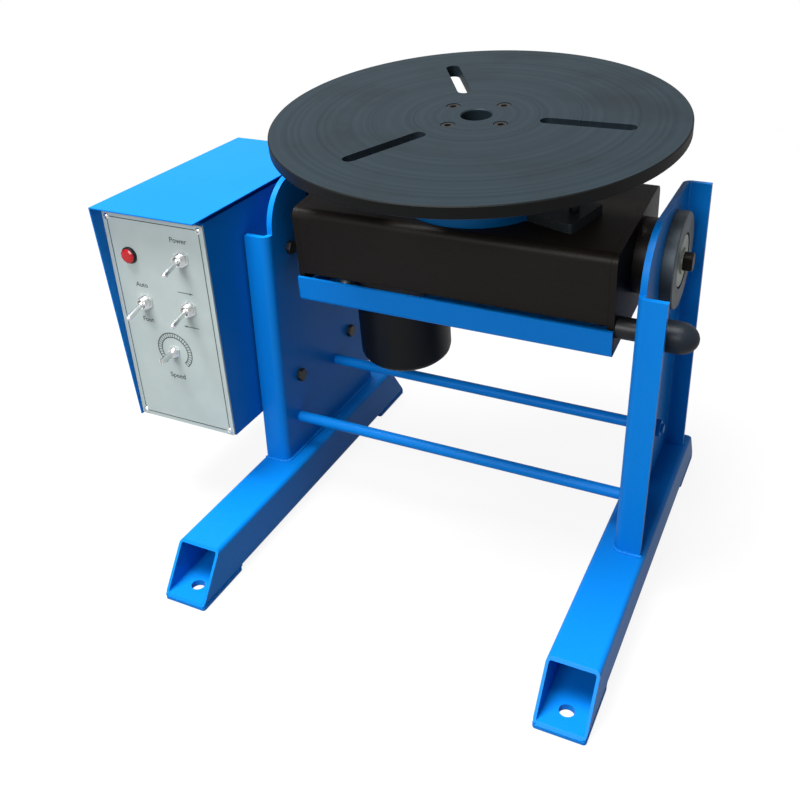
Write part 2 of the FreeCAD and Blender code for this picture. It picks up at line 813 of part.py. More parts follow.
# ---- spindle housing: round drum with two bolted ears ----
drum = turned([
    (0, neck_bottom), (neck_radius, neck_bottom), (neck_radius, housing_top), (drum_radius, housing_top),
    (drum_radius, housing_top + drum_flange_thickness - 1.5),
    (drum_radius - 1.5, housing_top + drum_flange_thickness),
    (boss_radius, housing_top + drum_flange_thickness), (boss_radius, boss_top - 1.5),
    (boss_radius - 1.5, boss_top), (0, boss_top),
], ORIGIN, Z)
ears = level_plate(rectangle(-ear_reach, ear_reach, -ear_width / 2.0, ear_width / 2.0, ear_corner_radius),
                   housing_top, housing_top + ear_thickness)
ears.rotate(ORIGIN, Z, ear_angle_deg)
ears = ears.cut(upright_bar(0, 0, 0, boss_top, neck_radius + 1.0))
drum = drum.fuse(ears).removeSplitter()
bores = [
    upright_bar(0, 0, upper_bearing_bottom, boss_top + 1, upper_bearing_outer + seat_clearance),
    upright_bar(0, 0, neck_bottom - 1, lower_bearing_bottom + bearing_height,
                lower_bearing_outer + seat_clearance),
    upright_bar(0, 0, neck_bottom - 1, boss_top, upper_bearing_inner + seal_lip_width),
]
drum = cut_all(drum, bores)
for x, y in ear_bolt_spots:
    drum = drum.cut(upright_bar(x, y, housing_top - 1, housing_top + ear_thickness + 1,
                                ear_bolt_radius + seat_clearance))
brush_x, brush_y = around(brush_angle_deg, brush_circle)
drum_flange_top = housing_top + drum_flange_thickness
save("spindle_housing", drum, True)

ear_bolts = []
for x, y in ear_bolt_spots:
    seat = housing_top + ear_thickness
    shank = upright_bar(x, y, housing_top - housing_sheet - 4.0, seat, ear_bolt_radius)
    head = upright_bar(x, y, seat, seat + ear_bolt_head_height, ear_bolt_head_radius)
    socket = hexagon(vec(x, y, seat + ear_bolt_head_height - 3.0), Z, 5.0, 4.0)
    bolt = shank.fuse(head).cut(socket)
    ear_bolts.append(bolt)
save("spindle_housing_bolts", ear_bolts, True)


# ---- spindle bearings: plain outer and inner rings ----
def ring(outer, inner, low):
    body = upright_bar(0, 0, low, low + bearing_height, outer)
    return body.cut(upright_bar(0, 0, low - 1, low + bearing_height + 1, inner))


upper_middle = (upper_bearing_outer + upper_bearing_inner) / 2.0
lower_middle = (lower_bearing_outer + lower_bearing_inner) / 2.0
save("bearing_outer_rings", [
    ring(upper_bearing_outer, upper_middle + bearing_ring_gap / 2.0, upper_bearing_bottom),
    ring(lower_bearing_outer, lower_middle + bearing_ring_gap / 2.0, lower_bearing_bottom),
], True)
save("bearing_inner_rings", [
    ring(upper_middle - bearing_ring_gap / 2.0, upper_bearing_inner + seat_clearance, upper_bearing_bottom),
    ring(lower_middle - bearing_ring_gap / 2.0, lower_bearing_inner + seat_clearance, lower_bearing_bottom),
], True)

# ---- hollow spindle, gear and lock nut ----
gear_top = gear_bottom + gear_face_width
spindle = turned([
    (spindle_bore_radius, spindle_bottom), (spindle_end_radius, spindle_bottom),
    (spindle_end_radius, lower_bearing_bottom), (lower_bearing_inner, lower_bearing_bottom),
    (lower_bearing_inner, lower_bearing_bottom + bearing_height),
    (upper_bearing_inner, lower_bearing_bottom + bearing_height),
    (upper_bearing_inner, upper_bearing_bottom + bearing_height),
    (spindle_shoulder_radius, upper_bearing_bottom + bearing_height),
    (spindle_shoulder_radius, spindle_flange_under), (spindle_flange_radius, spindle_flange_under),
    (spindle_flange_radius, table_under), (spindle_bore_radius, table_under),
], ORIGIN, Z)
table_bolt_spots = []
for i in range(table_bolt_count):
    table_bolt_spots.append(around(table_bolt_start_deg + 360.0 * i / table_bolt_count, table_bolt_circle))
bolt_low = table_top - counterbore_depth - table_bolt_length
for x, y in table_bolt_spots:
    spindle = spindle.cut(upright_bar(x, y, bolt_low - 1.0, table_under + 1,
                                      table_bolt_radius + seat_clearance))
save("spindle", spindle, True)

lock_nut_bottom = gear_bottom - lock_nut_height
lock_nut = upright_bar(0, 0, lock_nut_bottom, gear_bottom, lock_nut_radius)
lock_nut = lock_nut.cut(upright_bar(0, 0, lock_nut_bottom - 1, 0, spindle_end_radius + seat_clearance))
for i in range(4):
    notch = block(lock_nut_radius - 3.0, lock_nut_radius + 1, -3.0, 3.0,
                  lock_nut_bottom - 1, gear_bottom + 1)
    notch.rotate(ORIGIN, Z, 90 * i)
    lock_nut = lock_nut.cut(notch)
save("spindle_lock_nut", lock_nut, True)


# ---- spur gears with involute flanks ----
def involute_half_angle(radius, pitch_radius, half_thickness_angle):
    """Half the angle a tooth covers at a radius."""
    base_radius = pitch_radius * math.cos(math.radians(20.0))

    def spread(r):
        if r <= base_radius:
            return 0.0
        pressure = math.acos(base_radius / r)
        return math.tan(pressure) - pressure

    return half_thickness_angle + spread(pitch_radius) - spread(radius)


def spur_gear(teeth, low, high, phase_deg):
    pitch_radius = gear_module * teeth / 2.0
    outer_radius = pitch_radius + gear_module
    root_radius = pitch_radius - 1.25 * gear_module
    half_angle = math.pi / (2.0 * teeth) - gear_backlash / (4.0 * pitch_radius)
    radii = (root_radius, pitch_radius - 0.55 * gear_module, pitch_radius + 0.1 * gear_module, outer_radius)
    points = []
    for i in range(teeth):
        middle = math.radians(phase_deg) + 2.0 * math.pi * i / teeth
        for r in radii:
            angle = middle - involute_half_angle(r, pitch_radius, half_angle)
            points.append(vec(r * math.cos(angle), r * math.sin(angle), low))
        for r in reversed(radii):
            angle = middle + involute_half_angle(r, pitch_radius, half_angle)
            points.append(vec(r * math.cos(angle), r * math.sin(angle), low))
    points.append(points[0])
    return Part.Face(Part.makePolygon(points)).extrude(vec(0, 0, high - low))


table_gear = spur_gear(table_gear_teeth, gear_bottom, gear_top, motor_angle_deg)
gear_hub = upright_bar(0, 0, gear_top - 1.0, lower_bearing_bottom, gear_hub_radius)
table_gear = table_gear.fuse(gear_hub).removeSplitter()
table_gear = table_gear.cut(upright_bar(0, 0, gear_bottom - 1, lower_bearing_bottom + 1,
                                        spindle_end_radius + seat_clearance))
save("table_gear", table_gear, True)

pinion_low = gear_bottom - pinion_extra_height
pinion_high = gear_top + pinion_extra_height
pinion = spur_gear(pinion_teeth, pinion_low, pinion_high, motor_angle_deg + 180 + 180.0 / pinion_teeth)
pinion = pinion.fuse(upright_bar(0, 0, pinion_high, pinion_high + 8.0, 20.0)).removeSplitter()
pinion_shaft = upright_bar(0, 0, base_top - 4.0, pinion_high + 10.0, output_shaft_radius)
pinion = pinion.fuse(pinion_shaft).removeSplitter()
pinion.translate(vec(motor_x, motor_y, 0))
save("drive_pinion", pinion, True)

# ---- table ----
table = turned([
    (spindle_bore_radius, table_under), (table_radius - table_edge_chamfer, table_under),
    (table_radius, table_under + table_edge_chamfer), (table_radius, table_top - table_edge_chamfer),
    (table_radius - table_edge_chamfer, table_top), (spindle_bore_radius + 1.0, table_top),
    (spindle_bore_radius, table_top - 1.0),
], ORIGIN, Z)
for i in range(slot_count):
    half = slot_width / 2.0
    slot = level_plate(rectangle(slot_inner_end, slot_outer_end, -half, half, half - 0.01),
                       table_under - 1, table_top + 1)
    slot.rotate(ORIGIN, Z, slot_start_deg + 360.0 * i / slot_count)
    table = table.cut(slot)
for x, y in table_bolt_spots:
    table = table.cut(upright_bar(x, y, table_under - 1, table_top + 1, table_bolt_radius + seat_clearance))
    table = table.cut(upright_bar(x, y, table_top - counterbore_depth, table_top + 1, counterbore_radius))
save("table", table, True)

table_bolts = []
for x, y in table_bolt_spots:
    seat = table_top - counterbore_depth
    bolt = upright_bar(x, y, bolt_low, seat, table_bolt_radius)
    bolt = bolt.fuse(upright_bar(x, y, seat, seat + table_bolt_head_height, table_bolt_head_radius))
    table_bolts.append(bolt.cut(hexagon(vec(x, y, seat + table_bolt_head_height - 4.0), Z, 6.0, 5.0)))
save("table_bolts", table_bolts, True)

# ---- gear motor: square gearhead under the base plate, round motor below ----
gh = gearhead_width / 2.0
gearhead_outline = rectangle(motor_x - gh, motor_x + gh, motor_y - gh, motor_y + gh,
                             gearhead_corner_radius)
gearhead = level_plate(gearhead_outline, gearhead_bottom, housing_bottom)
gearhead = gearhead.fuse(upright_bar(motor_x, motor_y, housing_bottom, base_top, output_boss_radius))
gearhead = gearhead.removeSplitter()
gearhead = gearhead.cut(upright_bar(motor_x, motor_y, base_top - 4.0 - face_gap, base_top + 1,
                                    output_shaft_radius + running_clearance))
for x, y in motor_bolt_spots:
    gearhead = gearhead.cut(upright_bar(x, y, housing_bottom - motor_bolt_grip - 1.0, housing_bottom + 1,
                                        motor_bolt_radius + seat_clearance))
save("gearhead", gearhead, True)

cap_top = motor_bottom + motor_cap_height
save("motor_body", upright_bar(motor_x, motor_y, cap_top, gearhead_bottom, motor_radius), True)
cap = turned([(0, 0), (motor_radius - motor_edge_radius, 0),
              (motor_radius - motor_edge_radius * 0.5, motor_edge_radius * 0.134),
              (motor_radius - motor_edge_radius * 0.134, motor_edge_radius * 0.5),
              (motor_radius, motor_edge_radius), (motor_radius, motor_cap_height), (0, motor_cap_height)],
             vec(motor_x, motor_y, motor_bottom), Z)
save("motor_end_cap", cap, True)

motor_bolts = []
for x, y in motor_bolt_spots:
    bolt = upright_bar(x, y, housing_bottom - motor_bolt_grip, base_top, motor_bolt_radius)
    bolt = bolt.fuse(hexagon(vec(x, y, base_top), Z, motor_bolt_flats, motor_bolt_head_height))
    motor_bolts.append(bolt)
save("motor_bolts", motor_bolts, True)

# ---- earth brush and earth terminal ----
holder = upright_bar(brush_x, brush_y, drum_flange_top, brush_holder_top, brush_holder_radius)
holder = holder.cut(upright_bar(brush_x, brush_y, drum_flange_top + 4.0, brush_holder_top + 1,
                                brush_radius + seat_clearance))
save("earth_brush_holder", holder, True)
save("earth_brush", upright_bar(brush_x, brush_y, drum_flange_top + 4.0, spindle_flange_under - 0.1,
                                brush_radius), True)

terminal_seat = end_plate_bottom
dome_base = terminal_top - terminal_dome_radius * 0.6
post = upright_bar(terminal_x, terminal_y, tray_bottom - 4.0, dome_base, terminal_post_radius)
nut_low = hexagon(vec(terminal_x, terminal_y, terminal_seat), Z, 13.0, 6.5)
dome = Part.makeSphere(terminal_dome_radius, vec(terminal_x, terminal_y, terminal_top - terminal_dome_radius))
dome = dome.common(upright_bar(terminal_x, terminal_y, dome_base, terminal_top + 1, terminal_dome_radius + 1))
skirt = upright_bar(terminal_x, terminal_y, dome_base - 6.0, dome_base, terminal_dome_radius - 0.6)
save("earth_terminal", fuse_all([post, nut_low, dome, skirt]), True)

# ---- tilt clamp: stud in the right end plate, knob outside the slotted web ----
stud = cross_bar(housing_half_length, web_outer_half + knob_length - knob_end_wall, clamp_y, clamp_h,
                 clamp_stud_radius)
collar = cross_bar(end_outer, web_inner_half - face_gap, clamp_y, clamp_h, clamp_collar_radius)
save("clamp_stud", stud.fuse(collar).removeSplitter(), True)
washer_x = web_outer_half + face_gap
clamp_washer = cross_bar(washer_x, washer_x + clamp_washer_thickness, clamp_y, clamp_h, clamp_washer_radius)
clamp_washer = clamp_washer.cut(cross_bar(washer_x - 1, washer_x + clamp_washer_thickness + 1,
                                          clamp_y, clamp_h, clamp_stud_radius + seat_clearance))
save("clamp_washer", clamp_washer, True)
knob_start = washer_x + clamp_washer_thickness + face_gap
knob_profile = [(0, 0), (knob_neck_radius, 0), (knob_neck_radius, knob_neck_length),
                (knob_radius, knob_neck_length + 3.0)]
for i in range(7):
    part = math.radians(90.0 * i / 7.0)
    knob_profile.append((knob_radius * math.cos(part),
                         knob_length - knob_dome_length * (1.0 - math.sin(part))))
knob_profile.append((0, knob_length))
knob = turned(knob_profile, vec(knob_start, clamp_y, clamp_h), X)
knob = knob.cut(cross_bar(knob_start - 1, web_outer_half + knob_length - knob_end_wall + face_gap,
                          clamp_y, clamp_h, clamp_stud_radius + running_clearance))
save("clamp_knob", knob, True)

# ---- control box: folded chassis open at the top and left ----
lean = math.tan(math.radians(panel_lean_deg))


def front_at(z, behind):
    """Y of the leaning front at a height, a given depth behind the panel's face."""
    return panel_foot_y + behind - (z - box_bottom) * lean


shell_front = panel_thickness
outer_side = [
    (front_at(box_bottom, shell_front), box_bottom, 2.0), (box_rear, box_bottom, 2.0),
    (box_rear, hood_top - box_sheet - hood_gap, 0),
    (front_at(box_side_top, shell_front), hood_top - box_sheet - hood_gap, 0),
]
inner_top = hood_top + 5.0
inner_side = [
    (front_at(box_bottom, shell_front + box_sheet), box_bottom + box_sheet, 0.5),
    (box_rear - box_sheet, box_bottom + box_sheet, 0.5), (box_rear - box_sheet, inner_top, 0),
    (front_at(inner_top, shell_front + box_sheet), inner_top, 0),
]
chassis = side_plate(outer_side, chassis_left, box_right)
chassis = chassis.cut(side_plate(inner_side, chassis_left - 1, box_right - box_sheet))
chassis = chassis.cut(block(chassis_left - 1, box_right + 1, hood_front - 5, box_rear - box_sheet,
                            box_side_top, hood_top + 1))
lip = block(box_right - side_lip_width, box_right, front_at(box_side_top, shell_front + box_sheet),
            box_rear - box_sheet, box_side_top - box_sheet, box_side_top)
chassis = chassis.fuse(lip).removeSplitter()
window = block(chassis_left + panel_frame_width, box_right - panel_frame_width, -5, 20,
               panel_frame_width, panel_height - panel_frame_width)
chassis = chassis.cut(on_panel(window))
for y, z in box_bolt_spots:
    chassis = chassis.cut(cross_bar(box_right - 3, box_right + 1, y, z, box_bolt_radius + seat_clearance))
panel_screw_spots = []
for x in (chassis_left + panel_screw_inset, box_right - panel_screw_inset):
    for z in (panel_edge_gap + panel_screw_inset, panel_height - panel_screw_inset):
        panel_screw_spots.append((x, z))
for x, z in panel_screw_spots:
    hole = round_bar(vec(x, -1, z), Y, panel_screw_radius, panel_screw_length + 1)
    chassis = chassis.cut(on_panel(hole))
gland_spots = []
for sign in (-1, 1):
    gland_spots.append((box_centre_x + sign * gland_spacing / 2.0, gland_z))
for x, z in gland_spots:
    chassis = chassis.cut(round_bar(vec(x, box_rear - 5, z), Y, gland_radius + seat_clearance, 10))
save("box_chassis", chassis)

# ---- hood: top and left side in one folded sheet, overhanging the panel ----
hood_rear = box_rear + 1.0
hood_side = [
    (hood_foot_front, box_bottom, 0), (hood_rear, box_bottom, 0), (hood_rear, hood_top, 0),
    (hood_front, hood_top, 0),
]
hood_block = side_plate(hood_side, box_left, box_right + 1.0)
hollow = block(box_left + box_sheet, box_right + 5, hood_front - 5, hood_rear + 5,
               box_bottom - 5, hood_top - box_sheet)
save("box_hood", hood_block.cut(hollow))

# ---- control panel and its fittings ----
panel_left = chassis_left
panel = front_plate(rectangle(panel_left, box_right, panel_edge_gap, panel_height, 2.0), 0, panel_thickness)


def panel_spot(across, down):
    return box_right - across, panel_height - down


lamp_spot = panel_spot(lamp_across, lamp_down)
speed_spot = panel_spot(speed_across, speed_down)
switch_spots = {
    "power": panel_spot(power_across, power_down),
    "mode": panel_spot(mode_across, mode_down),
    "direction": panel_spot(direction_across, direction_down),
}
holes = [(lamp_spot, lamp_hole_radius), (speed_spot, speed_bushing_radius)]
for spot in switch_spots.values():
    holes.append((spot, bushing_radius))
for (x, z), radius in holes:
    panel = panel.cut(round_bar(vec(x, -1, z), Y, radius + thread_clearance, panel_thickness + 2))
screws = []
for x, z in panel_screw_spots:
    panel = panel.cut(round_bar(vec(x, -1, z), Y, panel_screw_radius + seat_clearance, panel_thickness + 2))
    shank = round_bar(vec(x, 0, z), Y, panel_screw_radius - seat_clearance, panel_screw_length)
    head = turned([(0, 0), (panel_screw_head_radius, 0),
                   (panel_screw_head_radius * 0.8, panel_screw_head_height * 0.65),
                   (panel_screw_head_radius * 0.4, panel_screw_head_height * 0.95),
                   (0, panel_screw_head_height)], vec(x, 0, z), vec(0, -1, 0))
    screws.append(on_panel(shank.fuse(head)))
save("control_panel", on_panel(panel))
save("panel_screws", screws)

switch_bodies = []
panel_nuts = []
pivot_y = -bushing_length + lever_pivot_inset
for name in ("power", "mode", "direction"):
    x, z = switch_spots[name]
    body = block(x - switch_body_width / 2.0, x + switch_body_width / 2.0,
                 panel_thickness, panel_thickness + switch_body_depth,
                 z - switch_body_height / 2.0, z + switch_body_height / 2.0)
    bushing = round_bar(vec(x, -bushing_length, z), Y, bushing_radius, bushing_length + panel_thickness + 1)
    mouth = turned([(0, 0), (bushing_radius - 1.2, 0), (lever_ball_radius + 0.1, 3.0),
                    (lever_ball_radius + 0.1, 5.6), (0, 5.6)], vec(x, -bushing_length, z), Y)
    switch_bodies.append(on_panel(body.fuse(bushing).cut(mouth)))
    nut = hexagon(vec(x, 0, z), vec(0, -1, 0), switch_nut_flats, switch_nut_height)
    nut = nut.cut(round_bar(vec(x, -10, z), Y, bushing_radius + thread_clearance, 20))
    panel_nuts.append(on_panel(nut))
    reach = lever_reach
    ball = lever_ball_radius
    lever = turned([(0, -ball), (ball * 0.7, -ball * 0.7), (ball, 0), (ball * 0.7, ball * 0.7),
                    (lever_radius, ball), (lever_radius, 6.0), (lever_tip_radius, reach - 4.0),
                    (lever_tip_radius, reach - 1.5), (lever_tip_radius * 0.6, reach), (0, reach)],
                   ORIGIN, vec(0, -1, 0))
    lever.rotate(ORIGIN, X, lever_throw_deg)
    lever.translate(vec(x, pivot_y, z))
    save(name + "_switch_lever", on_panel(lever))
save("switch_bodies", switch_bodies)

x, z = speed_spot
speed_body = round_bar(vec(x, panel_thickness, z), Y, speed_body_radius, speed_body_depth)
speed_bushing = round_bar(vec(x, -speed_bushing_length, z), Y, speed_bushing_radius,
                          speed_bushing_length + panel_thickness)
speed_body = speed_body.fuse(speed_bushing)
speed_body = speed_body.cut(round_bar(vec(x, -speed_bushing_length - 1, z), Y,
                                      speed_shaft_radius + running_clearance, speed_bushing_length + 9.0))
save("speed_control_body", on_panel(speed_body))
speed_nut = hexagon(vec(x, 0, z), vec(0, -1, 0), speed_nut_flats, switch_nut_height)
speed_nut = speed_nut.cut(round_bar(vec(x, -10, z), Y, speed_bushing_radius + thread_clearance, 20))
panel_nuts.append(on_panel(speed_nut))
save("panel_nuts", panel_nuts)
shaft = round_bar(vec(x, -speed_shaft_reach, z), Y, speed_shaft_radius, speed_shaft_reach + 7.5)
shaft = shaft.cut(block(x - 0.5, x + 0.5, -speed_shaft_reach - 1, -speed_shaft_reach + 6.0, z - 4, z + 4))
save("speed_control_shaft", on_panel(shaft))

x, z = lamp_spot
bezel = turned([(lamp_lens_radius + seat_clearance, 0), (lamp_bezel_radius, 0),
                (lamp_bezel_radius, lamp_bezel_height - 1.0), (lamp_bezel_radius - 1.0, lamp_bezel_height),
                (lamp_lens_radius + seat_clearance, lamp_bezel_height)], vec(x, 0, z), vec(0, -1, 0))
save("lamp_bezel", on_panel(bezel))
lens = turned([(0, -lamp_barrel_length), (lamp_hole_radius, -lamp_barrel_length), (lamp_hole_radius, 0),
               (lamp_lens_radius, 0), (lamp_lens_radius, lamp_lens_height - 2.0),
               (lamp_lens_radius * 0.75, lamp_lens_height - 0.5), (0, lamp_lens_height)],
              vec(x, 0, z), vec(0, -1, 0))
save("lamp_lens", on_panel(lens))

# ---- bolts, spacers and nuts between the box and the left web ----
box_bolts = []
box_spacers = []
box_nuts = []
nut_inner = box_right - box_sheet
for y, z in box_bolt_spots:
    head = hexagon(vec(-web_inner_half, y, z), X, box_bolt_flats, box_bolt_head)
    shank = cross_bar(nut_inner - box_bolt_nut - 2.0, -web_inner_half, y, z, box_bolt_radius)
    box_bolts.append(head.fuse(shank))
    spacer = cross_bar(box_right, -web_outer_half, y, z, box_spacer_radius)
    box_spacers.append(spacer.cut(cross_bar(box_right - 1, -web_outer_half + 1, y, z,
                                            box_bolt_radius + seat_clearance)))
    nut = hexagon(vec(nut_inner - box_bolt_nut, y, z), X, box_bolt_flats, box_bolt_nut)
    box_nuts.append(nut.cut(cross_bar(nut_inner - box_bolt_nut - 1, nut_inner + 1, y, z,
                                      box_bolt_radius + seat_clearance)))
save("box_bolts", box_bolts + box_nuts)
save("box_spacers", box_spacers)

# ---- inside the box: transformer on the floor, drive board on the rear wall ----
floor_z = box_bottom + box_sheet
core = block(transformer_x - transformer_length / 2.0, transformer_x + transformer_length / 2.0,
             transformer_y - transformer_width / 2.0 + coil_overhang,
             transformer_y + transformer_width / 2.0 - coil_overhang, floor_z, floor_z + transformer_height)
coil_low = floor_z + (transformer_height - coil_height) / 2.0
coil = block(transformer_x - transformer_length / 4.0, transformer_x + transformer_length / 4.0,
             transformer_y - transformer_width / 2.0, transformer_y + transformer_width / 2.0,
             coil_low, coil_low + coil_height)
save("transformer", core.fuse(coil))

board_y = box_rear - box_sheet - standoff_length
board_outline = rectangle(box_centre_x - board_width / 2.0, box_centre_x + board_width / 2.0,
                          board_z, board_z + board_height, 3.0)
board = front_plate(board_outline, board_y - board_thickness, board_y)
sink = block(box_centre_x - heat_sink_width / 2.0, box_centre_x + heat_sink_width / 2.0,
             board_y - board_thickness - heat_sink_depth, board_y - board_thickness,
             board_z + heat_sink_lift, board_z + heat_sink_lift + heat_sink_height)
drive_board = board.fuse(sink)
standoffs = []
for sx in (-1, 1):
    for z in (board_z + board_hole_inset, board_z + board_height - board_hole_inset):
        x = box_centre_x + sx * (board_width / 2.0 - board_hole_inset)
        standoffs.append(round_bar(vec(x, board_y, z), Y, standoff_radius, standoff_length))
save("drive_board", [drive_board] + standoffs)

glands = []
for x, z in gland_spots:
    barrel = round_bar(vec(x, box_rear - box_sheet - 8.0, z), Y, gland_radius, 8.0 + box_sheet + gland_reach)
    collar = hexagon(vec(x, box_rear, z), Y, gland_flats, 6.0)
    dome = turned([(0, 6.0), (gland_radius + 2.5, 6.0), (gland_radius + 2.5, 15.0),
                   (gland_radius - 2.0, gland_reach), (0, gland_reach)], vec(x, box_rear, z), Y)
    locknut = hexagon(vec(x, box_rear - box_sheet, z), vec(0, -1, 0), gland_flats, 4.0)
    gland = fuse_all([barrel, collar, dome, locknut])
    glands.append(gland.cut(round_bar(vec(x, box_rear - 20, z), Y, gland_bore_radius, 60)))
save("cable_glands", glands)
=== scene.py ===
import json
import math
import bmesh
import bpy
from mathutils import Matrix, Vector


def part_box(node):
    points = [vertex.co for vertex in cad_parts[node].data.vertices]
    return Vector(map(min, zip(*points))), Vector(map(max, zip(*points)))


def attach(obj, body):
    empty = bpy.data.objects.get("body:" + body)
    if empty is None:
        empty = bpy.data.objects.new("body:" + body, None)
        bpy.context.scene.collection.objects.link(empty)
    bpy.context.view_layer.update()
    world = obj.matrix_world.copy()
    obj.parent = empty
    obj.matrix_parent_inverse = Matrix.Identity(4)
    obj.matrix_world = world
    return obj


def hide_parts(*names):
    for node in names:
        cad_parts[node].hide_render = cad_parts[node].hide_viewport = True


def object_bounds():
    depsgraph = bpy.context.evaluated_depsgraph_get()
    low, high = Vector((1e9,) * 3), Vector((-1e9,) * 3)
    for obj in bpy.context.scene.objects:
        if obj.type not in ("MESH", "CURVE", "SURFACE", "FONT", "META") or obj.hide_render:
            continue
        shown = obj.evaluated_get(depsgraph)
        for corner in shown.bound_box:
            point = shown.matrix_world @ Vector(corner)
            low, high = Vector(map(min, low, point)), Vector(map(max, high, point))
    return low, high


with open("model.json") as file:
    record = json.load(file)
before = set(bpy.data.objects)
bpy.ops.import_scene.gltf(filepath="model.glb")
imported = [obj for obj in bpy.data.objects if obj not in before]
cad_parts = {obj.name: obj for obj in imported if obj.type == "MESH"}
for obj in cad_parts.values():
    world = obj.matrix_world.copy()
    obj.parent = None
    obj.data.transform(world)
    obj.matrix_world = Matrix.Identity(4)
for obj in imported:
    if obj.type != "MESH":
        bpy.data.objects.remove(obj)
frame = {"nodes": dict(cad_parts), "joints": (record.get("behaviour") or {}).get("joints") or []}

# %% [markdown]
# # Dressing a welding positioner
# The solids of the machine are already built and packed: feet, uprights, tilting
# housing, round table, motor and control box. This lesson gives them their paint,
# their machined finishes and the small things a drawing leaves out, such as weld
# beads, screw recesses and the printing on the panel. Everything is in metres.

cad_box = [list(corner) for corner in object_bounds()]
scene = bpy.context.scene
MM = 0.001
joints = {joint["name"]: joint for joint in frame["joints"]}
print("solids:", len(frame["nodes"]), "box:", cad_box)

# %% [markdown]
# ## Two leaning frames of reference
# The table leans forward at rest and the control panel leans back from its foot.
# Each gets a matrix, so a pattern or a small part can be drawn flat and then be put
# in place: the table's about the tilt axis, the panel's from its top right corner.

# %% Places on the machine
spin_axis = Vector(joints["table_spin"]["axis"]).normalized()
tilt_centre = Vector(joints["tilt"]["pos_m"])
rest_tilt = math.atan2(-spin_axis.y, spin_axis.z)
to_tilting = Matrix.Translation(tilt_centre) @ Matrix.Rotation(rest_tilt, 4, "X")
panel_normal = Vector(joints["speed_turn"]["axis"]).normalized()
panel_lean = math.atan2(-panel_normal.z, -panel_normal.y)
PANEL_THICKNESS = 2.0 * MM
panel_low, panel_high = (Vector(corner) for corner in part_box("control_panel"))
panel_corner = Vector((panel_high.x, panel_low.y, panel_high.z - PANEL_THICKNESS * math.sin(panel_lean)))
to_panel = Matrix.Translation(panel_corner) @ Matrix.Rotation(math.radians(90) + panel_lean, 4, "X")
print("rest tilt", round(math.degrees(rest_tilt), 2), "panel lean", round(math.degrees(panel_lean), 2))

# %% [markdown]
# ## Writing shader maths as Python
# A material is a graph of nodes. Wrapping a socket in a small class lets a pattern
# be written as an expression, and each operator adds one Math node behind it.

# %% A socket that can be added and multiplied


class Wire:
    def __init__(self, graph, socket):
        self.graph = graph
        self.socket = socket

    def _maths(self, operation, *values):
        return self.graph.node("ShaderNodeMath", {"operation": operation}, dict(enumerate(values)))

    def __add__(self, other):
        return self._maths("ADD", self, other)

    __radd__ = __add__

    def __sub__(self, other):
        return self._maths("SUBTRACT", self, other)

    def __rsub__(self, other):
        return self._maths("SUBTRACT", other, self)

    def __mul__(self, other):
        return self._maths("MULTIPLY", self, other)

    __rmul__ = __mul__

    def size(self):
        return self._maths("ABSOLUTE", self)

    def above(self, low, high):
        """0 under low, 1 over high and smooth between."""
        return self.graph.node("ShaderNodeMapRange", {"interpolation_type": "SMOOTHSTEP"},
                               {"Value": self, "From Min": low, "From Max": high})


class Graph:
    """One material's node tree, with a Principled shader at its end."""

    def __init__(self, name, **constants):
        self.material = bpy.data.materials.new(name)
        self.material.use_nodes = True
        self.tree = self.material.node_tree
        self.shader = self.tree.nodes["Principled BSDF"]
        for socket, value in constants.items():
            self.shader.inputs[socket.replace("_", " ")].default_value = value
        self.place = self.node("ShaderNodeTexCoord", output="Object")

    def node(self, kind, settings=None, values=None, output=0):
        node = self.tree.nodes.new(kind)
        for key, value in (settings or {}).items():
            setattr(node, key, value)
        for key, value in (values or {}).items():
            if isinstance(value, Wire):
                self.tree.links.new(value.socket, node.inputs[key])
            else:
                node.inputs[key].default_value = value
        return Wire(self, node.outputs[output])

    def noise(self, scale, detail=2.0, where=None):
        """Noise with a number of features per metre."""
        return self.node("ShaderNodeTexNoise", {},
                         {"Vector": where or self.place, "Scale": scale, "Detail": detail})

    def mix(self, factor, first, second):
        colours = {}
        for key, value in ((6, first), (7, second)):
            colours[key] = value if isinstance(value, Wire) else (*value, 1.0)
        return self.node("ShaderNodeMix", {"data_type": "RGBA"}, {0: factor, **colours}, 2)

    def bump(self, height, distance):
        return self.node("ShaderNodeBump", {}, {"Height": height, "Distance": distance, "Strength": 1.0})

    def feed(self, **sockets):
        for name, wire in sockets.items():
            self.tree.links.new(wire.socket, self.shader.inputs[name.replace("_", " ")])
        return self.material


# %% [markdown]
# ## Blue and black paint
# The frame is sprayed in a clean semi-gloss blue. Sprayed paint is never quite flat:
# it has a fine orange-peel ripple, and its shine changes a little where it has been
# handled. Two noises give the ripple and the change of shine.

# %% Paints
DUST_GREY = (0.40, 0.40, 0.39)


def paint(name, colour, shade, roughness, ripple, ripple_scale, gloss, dust_share):
    """Sprayed paint: two close shades, a rippled skin (height and features per metre) and a little dust."""
    graph = Graph(name, Specular_IOR_Level=gloss)
    patches = graph.noise(7.0, 4.0)
    dust = graph.noise(480.0, 5.0).above(0.52, 0.72)
    base = graph.mix(patches.above(0.35, 0.7), colour, shade)
    base = graph.mix(dust * dust_share, base, DUST_GREY)
    peel = graph.noise(ripple_scale, 2.0)
    return graph.feed(Base_Color=base, Roughness=patches * 0.10 + dust * 0.10 + (roughness - 0.05),
                      Normal=graph.bump(peel, ripple))


